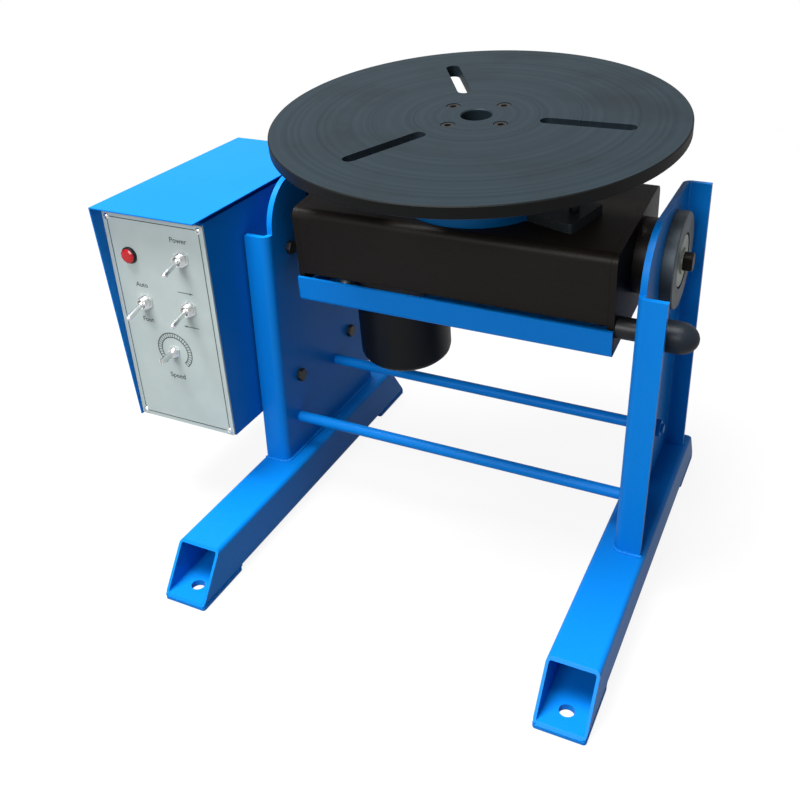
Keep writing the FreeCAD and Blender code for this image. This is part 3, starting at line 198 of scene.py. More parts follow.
BLUE = (0.0012, 0.190, 0.640)
# Painted shade: a darker blue for the drum, standing for the shadow the table casts on it.
DRUM_BLUE_PAINTED_SHADE = (0.0012, 0.110, 0.330)
blue_paint = paint("blue paint", BLUE, (0.0012, 0.178, 0.610), roughness=0.38, ripple=0.00012,
                   ripple_scale=420.0, gloss=0.10, dust_share=0.010)
black_paint = paint("black paint", (0.0085, 0.0066, 0.0050), (0.0105, 0.0082, 0.0064), roughness=0.42,
                    ripple=0.00010, ripple_scale=700.0, gloss=0.14, dust_share=0.008)
motor_paint = paint("motor paint", (0.0045, 0.0050, 0.0052), (0.0060, 0.0066, 0.0070), roughness=0.40,
                    ripple=0.00006, ripple_scale=500.0, gloss=0.16, dust_share=0.004)
print("paints:", blue_paint.name, black_paint.name, motor_paint.name)

# %% [markdown]
# ## The spindle housing's two finishes
# The round drum under the table is blue paint, darker than the frame's blue as painted shade for the table's
# shadow on it, and its two bolted ears are dark bare metal.
# Both are one casting, so the material measures the distance from the spindle's axis
# and changes where the ears leave the drum.

# %% Spindle housing
DRUM_RADIUS = 0.0826


def about_spindle(graph):
    """Flat place and distance from the spindle's axis, in the tilting frame."""
    flat = graph.node("ShaderNodeMapping", {"vector_type": "TEXTURE"},
                      {"Vector": graph.place, "Location": tilt_centre, "Rotation": (rest_tilt, 0, 0)})
    split = graph.node("ShaderNodeSeparateXYZ", {}, {"Vector": flat})
    y = Wire(graph, split.socket.node.outputs["Y"])
    return graph.node("ShaderNodeMath", {"operation": "SQRT"}, {0: split * split + y * y})


def drum_finish():
    """Darker blue inside the drum's radius, painted shade for the table above it, and bare dark metal outside
    it.
    """
    graph = Graph("drum blue with painted shade and bare ears", Specular_IOR_Level=0.1)
    ear = about_spindle(graph).above(DRUM_RADIUS, DRUM_RADIUS + 0.0006)
    grain = graph.noise(520.0, 3.0)
    bare = graph.mix(grain.above(0.35, 0.7), (0.034, 0.042, 0.046), (0.052, 0.062, 0.066))
    # Painted shade: the drum's side of the mix is the darker blue.
    return graph.feed(Base_Color=graph.mix(ear, DRUM_BLUE_PAINTED_SHADE, bare), Roughness=grain * 0.10 + 0.34,
                      Metallic=ear * 0.5, Normal=graph.bump(grain, 0.00006))


drum_paint_with_painted_shade = drum_finish()
print("two finishes on one casting, parted at radius", DRUM_RADIUS)

# %% [markdown]
# ## Machined and plated steel
# The table was faced on a lathe, so its marks run in circles about its own axis. The
# pattern reads the distance from that axis. Smaller steel parts only need a fine
# grain and an uneven shine.

# %% Steels
SCRIBED_RINGS = (0.060, 0.100, 0.153)
TABLE_RADIUS = 0.200


def turned_steel():
    """Lathe marks and scribed rings by radius, on steel that has darkened, with a darker rim."""
    graph = Graph("turned table steel", Specular_IOR_Level=0.14)
    radius = about_spindle(graph)
    on_radius = graph.node("ShaderNodeCombineXYZ", {}, {"X": radius})
    fine = graph.noise(2600.0, 3.0, on_radius)
    broad = graph.noise(160.0, 4.0, on_radius)
    patches = graph.noise(14.0, 5.0)
    scribed = None
    for ring in SCRIBED_RINGS:
        line = 1.0 - (radius - ring).size().above(0.00020, 0.00055)
        scribed = line if scribed is None else scribed + line
    rim = radius.above(TABLE_RADIUS - 0.0015, TABLE_RADIUS - 0.0005)
    base = graph.mix(broad.above(0.35, 0.65), (0.011, 0.020, 0.027), (0.016, 0.026, 0.034))
    base = graph.mix(patches.above(0.45, 0.75) * 0.5, base, (0.009, 0.013, 0.015))
    base = graph.mix(scribed * 0.60, base, (0.006, 0.007, 0.008))
    base = graph.mix(rim, base, (0.0030, 0.0034, 0.0035))
    return graph.feed(Base_Color=base, Roughness=fine * 0.16 + patches * 0.14 + 0.34,
                      Metallic=0.25 - rim * 0.25, Normal=graph.bump(fine * 0.7 - scribed, 0.00004))


def grained_steel(name, colour, dark, roughness, metallic=1.0, grain=900.0):
    """Metal with a fine grain, and patches that are a little darker."""
    graph = Graph(name, Metallic=metallic)
    patches = graph.noise(60.0, 4.0)
    grain = graph.noise(grain, 3.0)
    base = graph.mix(patches.above(0.4, 0.75), colour, dark)
    return graph.feed(Base_Color=base, Roughness=grain * 0.12 + patches * 0.10 + (roughness - 0.1),
                      Normal=graph.bump(grain, 0.00003))


table_steel = turned_steel()
bright_steel = grained_steel("machined steel", (0.52, 0.53, 0.54), (0.40, 0.41, 0.42), 0.26)
zinc_steel = grained_steel("zinc plate", (0.46, 0.47, 0.47), (0.36, 0.37, 0.36), 0.34)
chrome_plate = grained_steel("chrome plate", (0.86, 0.87, 0.86), (0.78, 0.79, 0.78), 0.30, grain=400.0)
black_steel = grained_steel("oxide black steel", (0.018, 0.018, 0.019), (0.030, 0.030, 0.031), 0.42, 0.6)
bronze = grained_steel("bronze", (0.50, 0.33, 0.13), (0.38, 0.24, 0.09), 0.32)
washer_steel = grained_steel("phosphated steel", (0.30, 0.33, 0.30), (0.21, 0.24, 0.21), 0.45, 0.7)
dark_steel = grained_steel("dark steel", (0.062, 0.080, 0.094), (0.038, 0.048, 0.056), 0.48, 0.5)
cast_metal = grained_steel("cast aluminium", (0.45, 0.46, 0.47), (0.34, 0.35, 0.36), 0.5, grain=500.0)
print("scribed rings on the table:", len(SCRIBED_RINGS))

# %% [markdown]
# ## Plastic, panel and small parts
# The knob and glands are moulded in black plastic with a dull, slightly grainy skin.
# The panel is a sprayed sheet in light grey, its printing is dark grey, and the pilot
# lamp has a red lens. All are one kind of surface, so one function makes them.

# %% Plastics and panel


def moulded(name, colour, roughness, grain_scale=1500.0, depth=0.00004, lift=1.35, **constants):
    """A dull skin with a fine grain; lift says how much lighter its patches are."""
    graph = Graph(name, **constants)
    grain = graph.noise(grain_scale, 2.0)
    patches = graph.noise(30.0, 3.0)
    lighter = tuple(value * lift + 0.002 for value in colour)
    base = graph.mix(patches.above(0.4, 0.7), colour, lighter)
    return graph.feed(Base_Color=base, Roughness=grain * 0.10 + (roughness - 0.05),
                      Normal=graph.bump(grain, depth))


black_plastic = moulded("black plastic", (0.007, 0.011, 0.017), 0.44, Specular_IOR_Level=0.2)
panel_sheet = moulded("panel sheet", (0.470, 0.545, 0.535), 0.52, 2500.0, 0.00002, 1.05,
                      Specular_IOR_Level=0.2)
print_ink = moulded("panel printing", (0.060, 0.072, 0.070), 0.60)
red_lens = moulded("red lens", (0.50, 0.005, 0.012), 0.22, 300.0, 0.00003, 1.1)


def switch_finish():
    """Chrome on what stands in front of the panel, black plastic behind it."""
    graph = Graph("switch chrome and plastic", Specular_IOR_Level=0.5)
    ahead = graph.node("ShaderNodeVectorMath", {"operation": "DOT_PRODUCT"},
                       {0: graph.place, 1: panel_normal}, 1)
    outside = (ahead - panel_normal.dot(panel_corner)).above(-0.0012, -0.0008)
    grain = graph.noise(700.0, 2.0)
    base = graph.mix(outside, (0.020, 0.020, 0.021), (0.84, 0.85, 0.84))
    return graph.feed(Base_Color=base, Metallic=outside, Roughness=0.5 - outside * 0.24 + grain * 0.06,
                      Normal=graph.bump(grain, 0.00003))


switch_metal = switch_finish()
circuit_green = moulded("circuit board", (0.02, 0.16, 0.06), 0.4)
varnish = moulded("winding varnish", (0.28, 0.12, 0.05), 0.35)
print("materials so far:", len(bpy.data.materials))

# %% [markdown]
# ## Giving each solid its finish
# Each solid keeps its own mesh and only receives a material. A weld, a small bevel
# and smooth shading by angle are added as modifiers, because real edges are never
# perfectly sharp and always catch a line of light.

# %% Smooth shading by angle, as a node group
SHARP = math.radians(32)
MERGE_DISTANCE = 0.000005
FLAT_ANGLE = math.radians(0.2)
BEVEL_SEGMENTS = 2
BEVEL_FROM = math.radians(40)


def smooth_by_angle():
    tree = bpy.data.node_groups.new("smooth by angle", "GeometryNodeTree")
    tree.interface.new_socket("Geometry", in_out="INPUT", socket_type="NodeSocketGeometry")
    angle = tree.interface.new_socket("Angle", in_out="INPUT", socket_type="NodeSocketFloat")
    angle.default_value = SHARP
    tree.interface.new_socket("Geometry", in_out="OUTPUT", socket_type="NodeSocketGeometry")
    enter = tree.nodes.new("NodeGroupInput")
    leave = tree.nodes.new("NodeGroupOutput")
    edge_angle = tree.nodes.new("GeometryNodeInputMeshEdgeAngle")
    compare = tree.nodes.new("FunctionNodeCompare")
    compare.data_type = "FLOAT"
    compare.operation = "LESS_EQUAL"
    faces = tree.nodes.new("GeometryNodeSetShadeSmooth")
    faces.domain = "FACE"
    edges = tree.nodes.new("GeometryNodeSetShadeSmooth")
    edges.domain = "EDGE"
    link = tree.links.new
    link(enter.outputs["Geometry"], faces.inputs["Geometry"])
    link(faces.outputs["Geometry"], edges.inputs["Geometry"])
    link(edge_angle.outputs["Unsigned Angle"], compare.inputs[0])
    link(enter.outputs["Angle"], compare.inputs[1])
    link(compare.outputs["Result"], edges.inputs["Shade Smooth"])
    link(edges.outputs["Geometry"], leave.inputs["Geometry"])
    return tree


SMOOTH = smooth_by_angle()


def soften(thing, bevel):
    """Joins the loose faces, rounds the sharp edges and smooths the rest."""
    weld = thing.modifiers.new("weld", "WELD")
    weld.merge_threshold = MERGE_DISTANCE
    flats = thing.modifiers.new("flats", "DECIMATE")
    flats.decimate_type = "DISSOLVE"
    flats.angle_limit = FLAT_ANGLE
    if bevel:
        edge = thing.modifiers.new("edge", "BEVEL")
        edge.width = bevel
        edge.segments = BEVEL_SEGMENTS
        edge.limit_method = "ANGLE"
        edge.angle_limit = BEVEL_FROM
        edge.use_clamp_overlap = True
        edge.miter_outer = "MITER_ARC"
    smooth = thing.modifiers.new("smooth", "NODES")
    smooth.node_group = SMOOTH
    even = thing.modifiers.new("even shading", "WEIGHTED_NORMAL")
    even.keep_sharp = True


def finish_solid(name, material, bevel):
    thing = frame["nodes"][name]
    thing.data.materials.clear()
    thing.data.materials.append(material)
    soften(thing, bevel)


# %% [markdown]
# ## Which solid gets which finish
# The table below lists the solids by material, each with the width of its bevel in
# metres. Sheet edges and bolt heads get one, and turned pieces that already have
# their own chamfers get none.

# %% Finishes for all the solids
FINISHES = {
    blue_paint: {
        "left_foot": 0.0006, "right_foot": 0.0006, "foot_pads": 0.0004, "left_upright": 0.0006,
        "right_upright": 0.0006, "front_tie_rod": 0.0005, "rear_tie_rod": 0.0005, "tie_rod_nuts": 0.0005,
        "box_chassis": 0.0004, "box_hood": 0.0004, "tray": 0.0004},
    drum_paint_with_painted_shade: {"spindle_housing": 0.0006},
    black_paint: {
        "tilt_housing": 0.0006, "left_end_plate": 0.0006, "right_end_plate": 0.0006, "base_plate": 0.0,
        "left_trunnion": 0.0, "right_trunnion": 0.0},
    motor_paint: {"motor_body": 0.0, "motor_end_cap": 0.0},
    table_steel: {"table": 0.0},
    bright_steel: {
        "spindle": 0.0, "spindle_lock_nut": 0.0, "table_gear": 0.0, "bearing_inner_rings": 0.0,
        "bearing_outer_rings": 0.0, "drive_pinion": 0.0},
    dark_steel: {"left_bearing_disc": 0.0005, "right_bearing_disc": 0.0005, "earth_terminal": 0.0},
    washer_steel: {"retaining_washers": 0.0003},
    zinc_steel: {
        "trunnion_bolts": 0.0003, "box_spacers": 0.0, "motor_bolts": 0.0,
        "clamp_washer": 0.0, "tray_screws": 0.0},
    chrome_plate: {
        "panel_nuts": 0.0002, "power_switch_lever": 0.0, "mode_switch_lever": 0.0,
        "direction_switch_lever": 0.0, "panel_screws": 0.0, "speed_control_body": 0.0,
        "speed_control_shaft": 0.0},
    black_steel: {
        "bearing_disc_screws": 0.0, "table_bolts": 0.0004, "box_bolts": 0.0003, "clamp_stud": 0.0004,
        "spindle_housing_bolts": 0.0004},
    bronze: {"tilt_bushes": 0.0, "earth_brush_holder": 0.0003, "earth_brush": 0.0},
    cast_metal: {"gearhead": 0.0},
    panel_sheet: {"control_panel": 0.0},
    switch_metal: {"switch_bodies": 0.0},
    black_plastic: {"cable_glands": 0.0004, "clamp_knob": 0.0, "lamp_bezel": 0.0002},
    circuit_green: {"drive_board": 0.0},
    varnish: {"transformer": 0.0},
}
for material, names in FINISHES.items():
    for name, bevel in names.items():
        finish_solid(name, material, bevel)
print("finished solids:", sum(len(names) for names in FINISHES.values()))

# %% [markdown]
# ## Growing small parts with Geometry Nodes
# Weld ripples, screw heads, thread ridges and dial marks all repeat, so each is one
# node tree with its sizes as named inputs. The tree ends by making its instances
# real and giving them their material. The result is kept as a plain mesh, which
# rides on the body that carries it.

# %% A small builder for node trees


class Tree:
    """A Geometry Nodes tree whose sizes and material are named inputs."""

    def __init__(self, name, **sizes):
        self.group = bpy.data.node_groups.new(name, "GeometryNodeTree")
        sockets = self.group.interface
        sockets.new_socket("Geometry", in_out="INPUT", socket_type="NodeSocketGeometry")
        self.names = {}
        for label, value in sizes.items():
            kind = "NodeSocketInt" if isinstance(value, int) else "NodeSocketFloat"
            socket = sockets.new_socket(label.replace("_", " "), in_out="INPUT", socket_type=kind)
            socket.default_value = value
            self.names[label] = socket.identifier
        finish = sockets.new_socket("Material", in_out="INPUT", socket_type="NodeSocketMaterial")
        self.names["Material"] = finish.identifier
        sockets.new_socket("Geometry", in_out="OUTPUT", socket_type="NodeSocketGeometry")
        self.enter = self.group.nodes.new("NodeGroupInput")
        self.leave = self.group.nodes.new("NodeGroupOutput")

    def size(self, label):
        return self.enter.outputs[label.replace("_", " ")]

    def node(self, kind, settings=None, values=None, output=0):
        node = self.group.nodes.new(kind)
        for key, value in (settings or {}).items():
            setattr(node, key, value)
        for key, value in (values or {}).items():
            if isinstance(value, bpy.types.NodeSocket):
                self.group.links.new(value, node.inputs[key])
            else:
                node.inputs[key].default_value = value
        return node.outputs[output]

    def maths(self, operation, *values):
        return self.node("ShaderNodeMath", {"operation": operation}, dict(enumerate(values)))

    def vector(self, **parts):
        return self.node("ShaderNodeCombineXYZ", {}, parts)

    def join(self, *shapes):
        node = self.group.nodes.new("GeometryNodeJoinGeometry")
        for shape in reversed(shapes):
            self.group.links.new(shape, node.inputs[0])
        return node.outputs[0]

    def close(self, shape):
        real = self.node("GeometryNodeRealizeInstances", {}, {0: shape})
        done = self.node("GeometryNodeSetMaterial", {}, {"Geometry": real, "Material": self.size("Material")})
        self.group.links.new(done, self.leave.inputs[0])
        return self


def grow(name, tree, material, start, body, replaces=(), **sizes):
    """Runs a tree on a starting mesh and keeps the result as a plain mesh on a body."""
    seed = bpy.data.objects.new(name + "_seed", start)
    scene.collection.objects.link(seed)
    modifier = seed.modifiers.new("grow", "NODES")
    modifier.node_group = tree.group
    modifier[tree.names["Material"]] = material
    for label, value in sizes.items():
        modifier[tree.names[label]] = value
    grown = seed.evaluated_get(bpy.context.evaluated_depsgraph_get())
    mesh = bpy.data.meshes.new_from_object(grown)
    mesh.name = name
    bpy.data.objects.remove(seed)
    shape = bmesh.new()
    shape.from_mesh(mesh)
    bmesh.ops.remove_doubles(shape, verts=shape.verts, dist=MERGE_DISTANCE)
    shape.to_mesh(mesh)
    shape.free()
    mesh.polygons.foreach_set("use_smooth", [True] * len(mesh.polygons))
    mesh.set_sharp_from_angle(angle=SHARP)
    piece = bpy.data.objects.new(name, mesh)
    scene.collection.objects.link(piece)
    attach(piece, body)
    if replaces:
        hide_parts(*replaces)
    print(name, "faces:", len(mesh.polygons))
    return piece


def mesh_of(name, points, edges=()):
    mesh = bpy.data.meshes.new(name)
    mesh.from_pydata([tuple(point) for point in points], edges, [])
    return mesh


# %% [markdown]
# ## Weld beads
# The uprights stand on the feet and are welded all round, and the pads are welded
# along the lower edges of the tubes. A hand-laid bead is a row of overlapping
# ripples, so the tree walks along a path and sets a squashed ball at every step.

# %% The bead tree and the paths it follows
BEND_RADIUS = 9.0 * MM
PAD_LENGTH = 69.0 * MM
RAISE_ON_FOOT = 0.0004


def bead_tree():
    tree = Tree("weld bead", Step=0.0020, Width=0.0050, Height=0.0034)
    path = tree.node("GeometryNodeMeshToCurve", {}, {"Mesh": tree.enter.outputs["Geometry"]})
    steps = tree.node("GeometryNodeResampleCurve", {"mode": "LENGTH"},
                      {"Curve": path, "Length": tree.size("Step")})
    ripple = tree.node("GeometryNodeMeshUVSphere", {}, {"Segments": 8, "Rings": 5, "Radius": 0.5})
    wobble = tree.node("FunctionNodeRandomValue", {"data_type": "FLOAT"},
                       {"Min": 0.86, "Max": 1.14, "Seed": 7}, 1)
    wide = tree.maths("MULTIPLY", tree.size("Width"), wobble)
    high = tree.maths("MULTIPLY", tree.size("Height"), wobble)
    row = tree.node("GeometryNodeInstanceOnPoints", {},
                    {"Points": steps, "Instance": ripple, "Scale": tree.vector(X=wide, Y=wide, Z=high)})
    return tree.close(row)


def channel_foot(name, side):
    """Outline of an upright where it stands on its foot, as the weld follows it."""
    low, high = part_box(name)
    inner, outer = (low[0], high[0]) if side > 0 else (high[0], low[0])
    front = low[1]
    rear = high[1]
    height = low[2] + RAISE_ON_FOOT
    points = [Vector((outer, front, height))]
    for corner_y, turn in ((front + BEND_RADIUS, -1.0), (rear - BEND_RADIUS, 1.0)):
        for step in range(5):
            angle = math.radians(90.0 * (step if turn < 0 else 4 - step) / 4.0)
            points.append(Vector((inner + side * BEND_RADIUS * (1.0 - math.sin(angle)),
                                  corner_y + turn * BEND_RADIUS * math.cos(angle), height)))
    points.append(Vector((outer, rear, height)))
    return points


def pad_seams():
    """The long lower edges of both tubes, over the pads."""
    runs = []
    for name in ("left_foot", "right_foot"):
        low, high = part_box(name)
        for x in (low[0] + 0.0018, high[0] - 0.0018):
            for start, end in ((low[1] + 0.002, low[1] + PAD_LENGTH), (high[1] - PAD_LENGTH, high[1] - 0.002)):
                runs.append([Vector((x, start, low[2] + 0.0012)), Vector((x, end, low[2] + 0.0012))])
    return runs


def paths_mesh(name, runs):
    points = []
    edges = []
    for run in runs:
        first = len(points)
        points.extend(run)
        edges.extend((first + i, first + i + 1) for i in range(len(run) - 1))
    return mesh_of(name, points, edges)


beads = bead_tree()
grow("upright_welds", beads, blue_paint,
     paths_mesh("upright_paths", [channel_foot("left_upright", -1), channel_foot("right_upright", 1)]),
     "frame")
grow("pad_welds", beads, blue_paint, paths_mesh("pad_paths", pad_seams()), "frame",
     Step=0.0022, Width=0.0036, Height=0.0030)

# %% [markdown]
# ## Threads on the switch bushings
# Each toggle and the speed control is held by a nut on a threaded bushing. The
# ridges of the thread are thin rings, one for every turn, stacked from the panel to
# the end of the bushing.

# %% The thread tree


def thread_tree():
    tree = Tree("thread", Turns=9, Pitch=0.00075, Radius=0.0060, Ridge=0.00032)
    along = tree.node("GeometryNodeMeshLine", {}, {
        "Count": tree.size("Turns"), "Offset": tree.vector(Z=tree.size("Pitch"))})
    ring = tree.node("GeometryNodeCurvePrimitiveCircle", {}, {"Resolution": 32, "Radius": tree.size("Radius")})
    ridge = tree.node("GeometryNodeCurvePrimitiveCircle", {}, {"Resolution": 5, "Radius": tree.size("Ridge")})
    wire = tree.node("GeometryNodeCurveToMesh", {}, {"Curve": ring, "Profile Curve": ridge})
    stack = tree.node("GeometryNodeInstanceOnPoints", {}, {"Points": along, "Instance": wire})
    return tree.close(stack)


def bushing_threads(name, place, **sizes):
    piece = grow(name, threads, chrome_plate, mesh_of(name + "_start", [(0, 0, 0)]), "frame", **sizes)
    piece.data.transform(place)
    return piece


threads = thread_tree()
FIRST_RIDGE = 0.0027
from_panel = to_panel.inverted()
spots = {switch: from_panel @ Vector(joints[switch + "_toggle"]["pos_m"])
         for switch in ("power", "mode", "direction")}
for switch, spot in spots.items():
    bushing_threads(switch + "_bushing_thread", to_panel @ Matrix.Translation((spot.x, spot.y, FIRST_RIDGE)))
speed_spot = from_panel @ Vector(joints["speed_turn"]["pos_m"])
bushing_threads("speed_bushing_thread", to_panel @ Matrix.Translation((speed_spot.x, speed_spot.y, FIRST_RIDGE)),
                Turns=5, Radius=0.0047, Ridge=0.00026)

# %% [markdown]
# ## Cross recesses in the panel screws
# The four screws have domed heads with a cross recess. A head is a flattened ball
# with its lower half and a cross cut away, and the tree sets one on each screw.

# %% Screw heads


def screw_tree():
    tree = Tree("screw heads", Radius=0.0036, Height=0.0021, Slot=0.0010)
    wide = tree.size("Radius")
    ball = tree.node("GeometryNodeMeshUVSphere", {}, {"Segments": 24, "Rings": 12, "Radius": 1.0})
    ball = tree.node("GeometryNodeTransform", {}, {
        "Geometry": ball, "Scale": tree.vector(X=wide, Y=wide, Z=tree.size("Height"))})
    arms = []
    for x, y in (("Slot", "Length"), ("Length", "Slot")):
        spans = {"Slot": tree.size("Slot"), "Length": tree.maths("MULTIPLY", wide, 1.15)}
        arm = tree.node("GeometryNodeMeshCube", {}, {
            "Size": tree.vector(X=spans[x], Y=spans[y], Z=tree.size("Height"))})
        lift = tree.vector(Z=tree.size("Height"))
        arms.append(tree.node("GeometryNodeTransform", {}, {"Geometry": arm, "Translation": lift}))
    below = tree.node("GeometryNodeMeshCube", {}, {"Size": (0.02, 0.02, 0.006)})
    below = tree.node("GeometryNodeTransform", {}, {"Geometry": below, "Translation": (0, 0, -0.003)})
    head = ball
    for cutter in (*arms, below):
        head = tree.node("GeometryNodeMeshBoolean", {"operation": "DIFFERENCE"},
                         {"Mesh 1": head, "Mesh 2": cutter})
    spin = tree.node("FunctionNodeRandomValue", {"data_type": "FLOAT"}, {"Min": 0.0, "Max": 1.5, "Seed": 3}, 1)
    heads = tree.node("GeometryNodeInstanceOnPoints", {}, {
        "Points": tree.enter.outputs["Geometry"], "Instance": head, "Rotation": tree.vector(Z=spin)})
    return tree.close(heads)


SCREW_RADIUS = 3.6 * MM
screw_low, screw_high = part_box("panel_screws")
screw_across = screw_high[0] - screw_low[0] - 2 * SCREW_RADIUS
panel_tall = (panel_high.z - panel_low.z) / math.cos(panel_lean)
screw_inset = panel_high.x - screw_high[0] + SCREW_RADIUS
screw_spots = [(-screw_inset - column * screw_across, -screw_inset - row * (panel_tall - 2 * screw_inset), 0)
               for column in (0, 1) for row in (0, 1)]
heads = grow("panel_screw_heads", screw_tree(), chrome_plate, mesh_of("screw_spots", screw_spots), "frame",
             ("panel_screws",))
heads.data.transform(to_panel)

# %% [markdown]
# ## Pilot lamp lens
# The red lens of the pilot lamp is a shallow cap with flat cuts round its rim, which
# make it sparkle. Its outline is spun round the lamp's axis in a few steps.

# %% Lamp lens


def spun(name, profile, steps):
    """Spins (radius, height) points in millimetres about the local Z axis."""
    shape = bmesh.new()
    rings = []
    for radius, height in profile:
        count = steps if radius else 1
        turns = [2.0 * math.pi * i / steps for i in range(count)]
        rings.append([shape.verts.new((radius * MM * math.cos(t), radius * MM * math.sin(t), height * MM))
                      for t in turns])
    for low, high in zip(rings, rings[1:]):
        for i in range(steps):
            j = (i + 1) % steps
            corners = [low[i % len(low)], low[j % len(low)], high[j % len(high)], high[i % len(high)]]
            shape.faces.new(list(dict.fromkeys(corners)))
    bmesh.ops.recalc_face_normals(shape, faces=shape.faces)
    mesh = bpy.data.meshes.new(name)
    shape.to_mesh(mesh)
    shape.free()
    return mesh


lamp_low, lamp_high = (from_panel @ Vector(corner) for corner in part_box("lamp_bezel"))
CAP_OUTLINE = [(0, 1.0), (6.6, 1.0), (6.6, 3.05), (7.9, 3.05), (7.9, 4.3), (6.4, 5.5), (3.9, 6.0), (0, 6.0)]
CAP_FACETS = 11
cap = spun("lamp_cap", CAP_OUTLINE, CAP_FACETS)
cap.transform(to_panel @ Matrix.Translation(
    ((lamp_low.x + lamp_high.x) / 2, (lamp_low.y + lamp_high.y) / 2, 0)))
cap.materials.append(red_lens)
lens = bpy.data.objects.new("lamp_cap", cap)
scene.collection.objects.link(lens)
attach(lens, "frame")
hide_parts("lamp_lens")
print("lamp cap faces:", len(cap.polygons))

# %% [markdown]
# ## Printing on the panel
# The dial round the speed control is a ladder of short marks between two arcs. The
# labels are set in a plain typeface and turned into thin meshes that lie just clear
# of the sheet, and the arrows and the frame line are flat strips.

# %% Dial marks


def dial_tree():
    tree = Tree("dial", Inner=0.0165, Outer=0.0215, Marks=31, Line=0.00060, Sweep=4.85)
    start = tree.maths("SUBTRACT", math.radians(90), tree.maths("MULTIPLY", tree.size("Sweep"), 0.5))
    bar = tree.node("GeometryNodeCurvePrimitiveCircle", {}, {"Resolution": 4, "Radius": tree.size("Line")})
    shapes = []
    for edge in ("Inner", "Outer"):
        arc = tree.node("GeometryNodeCurveArc", {}, {
            "Resolution": 72, "Radius": tree.size(edge), "Start Angle": start,
            "Sweep Angle": tree.size("Sweep")})
        shapes.append(tree.node("GeometryNodeCurveToMesh", {}, {"Curve": arc, "Profile Curve": bar}))
    middle = tree.maths("MULTIPLY", tree.maths("ADD", tree.size("Inner"), tree.size("Outer")), 0.5)
    track = tree.node("GeometryNodeCurveArc", {}, {
        "Resolution": 72, "Radius": middle, "Start Angle": start, "Sweep Angle": tree.size("Sweep")})
    spots = tree.group.nodes.new("GeometryNodeCurveToPoints")
    tree.group.links.new(track, spots.inputs["Curve"])
    tree.group.links.new(tree.size("Marks"), spots.inputs["Count"])
    depth = tree.maths("SUBTRACT", tree.size("Outer"), tree.size("Inner"))
    mark = tree.node("GeometryNodeMeshCube", {}, {
        "Size": tree.vector(X=depth, Y=depth, Z=tree.size("Line"))})
    mark = tree.node("GeometryNodeTransform", {}, {"Geometry": mark, "Scale": (1.0, 0.15, 1.0)})
    outward = tree.node("FunctionNodeAlignRotationToVector", {"axis": "X"}, {
        "Vector": tree.node("GeometryNodeInputPosition")})
    shapes.append(tree.node("GeometryNodeInstanceOnPoints", {}, {
        "Points": spots.outputs["Points"], "Instance": mark, "Rotation": outward}))
    flat = tree.node("GeometryNodeTransform", {}, {"Geometry": tree.join(*shapes), "Scale": (1.0, 1.0, 0.18)})
    return tree.close(flat)


dial = grow("speed_dial", dial_tree(), print_ink, mesh_of("dial_start", [(0, 0, 0)]), "frame")
dial.data.transform(to_panel @ Matrix.Translation((speed_spot.x, speed_spot.y, 0.00004)))

# %% [markdown]
# ## Words, arrows and the frame line
# A short word stands by each switch and by the dial, two arrows give the direction of
# turn, and a thin line runs round inside the panel's edge. Text has to become a mesh
# before it is put in place, because only a mesh keeps its place inside itself.

# %% Labels, arrows and frame line
INK_LIFT = 0.00006
CAPITAL_SHARE = 0.7  # height of a capital as a share of the type size


def printed(name, mesh):
    mesh.transform(to_panel)
    mesh.materials.clear()
    mesh.materials.append(print_ink)
    piece = bpy.data.objects.new(name, mesh)
    scene.collection.objects.link(piece)
    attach(piece, "frame")
    return piece


def label(name, text, x, y, height):
    curve = bpy.data.curves.new(name, "FONT")
    curve.body = text
    curve.size = height / CAPITAL_SHARE
    curve.align_x = "CENTER"
    curve.align_y = "CENTER"
    curve.offset = 0.00012
    holder = bpy.data.objects.new(name + "_text", curve)
    scene.collection.objects.link(holder)
    shape = holder.evaluated_get(bpy.context.evaluated_depsgraph_get())
    mesh = bpy.data.meshes.new_from_object(shape)
    bpy.data.objects.remove(holder)
    mesh.transform(Matrix.Translation((x, y, INK_LIFT)))
    return printed(name, mesh)


def strips(name, runs, width):
    """Flat strips along (x, y) runs on the panel; an arrow head ends a run marked so."""
    shape = bmesh.new()
    for (x0, y0), (x1, y1), arrow in runs:
        start = Vector((x0, y0, INK_LIFT))
        end = Vector((x1, y1, INK_LIFT))
        ahead = (end - start).normalized()
        side = Vector((-ahead.y, ahead.x, 0.0)) * width / 2.0
        shape.faces.new([shape.verts.new(p) for p in (start - side, end - side, end + side, start + side)])
        if arrow:
            neck = end - ahead * width * 0.5
            shape.faces.new([shape.verts.new(p) for p in (
                neck - side * 2.8, end + ahead * width * 5.0, neck + side * 2.8)])
    mesh = bpy.data.meshes.new(name)
    shape.to_mesh(mesh)
    shape.free()
    return printed(name, mesh)


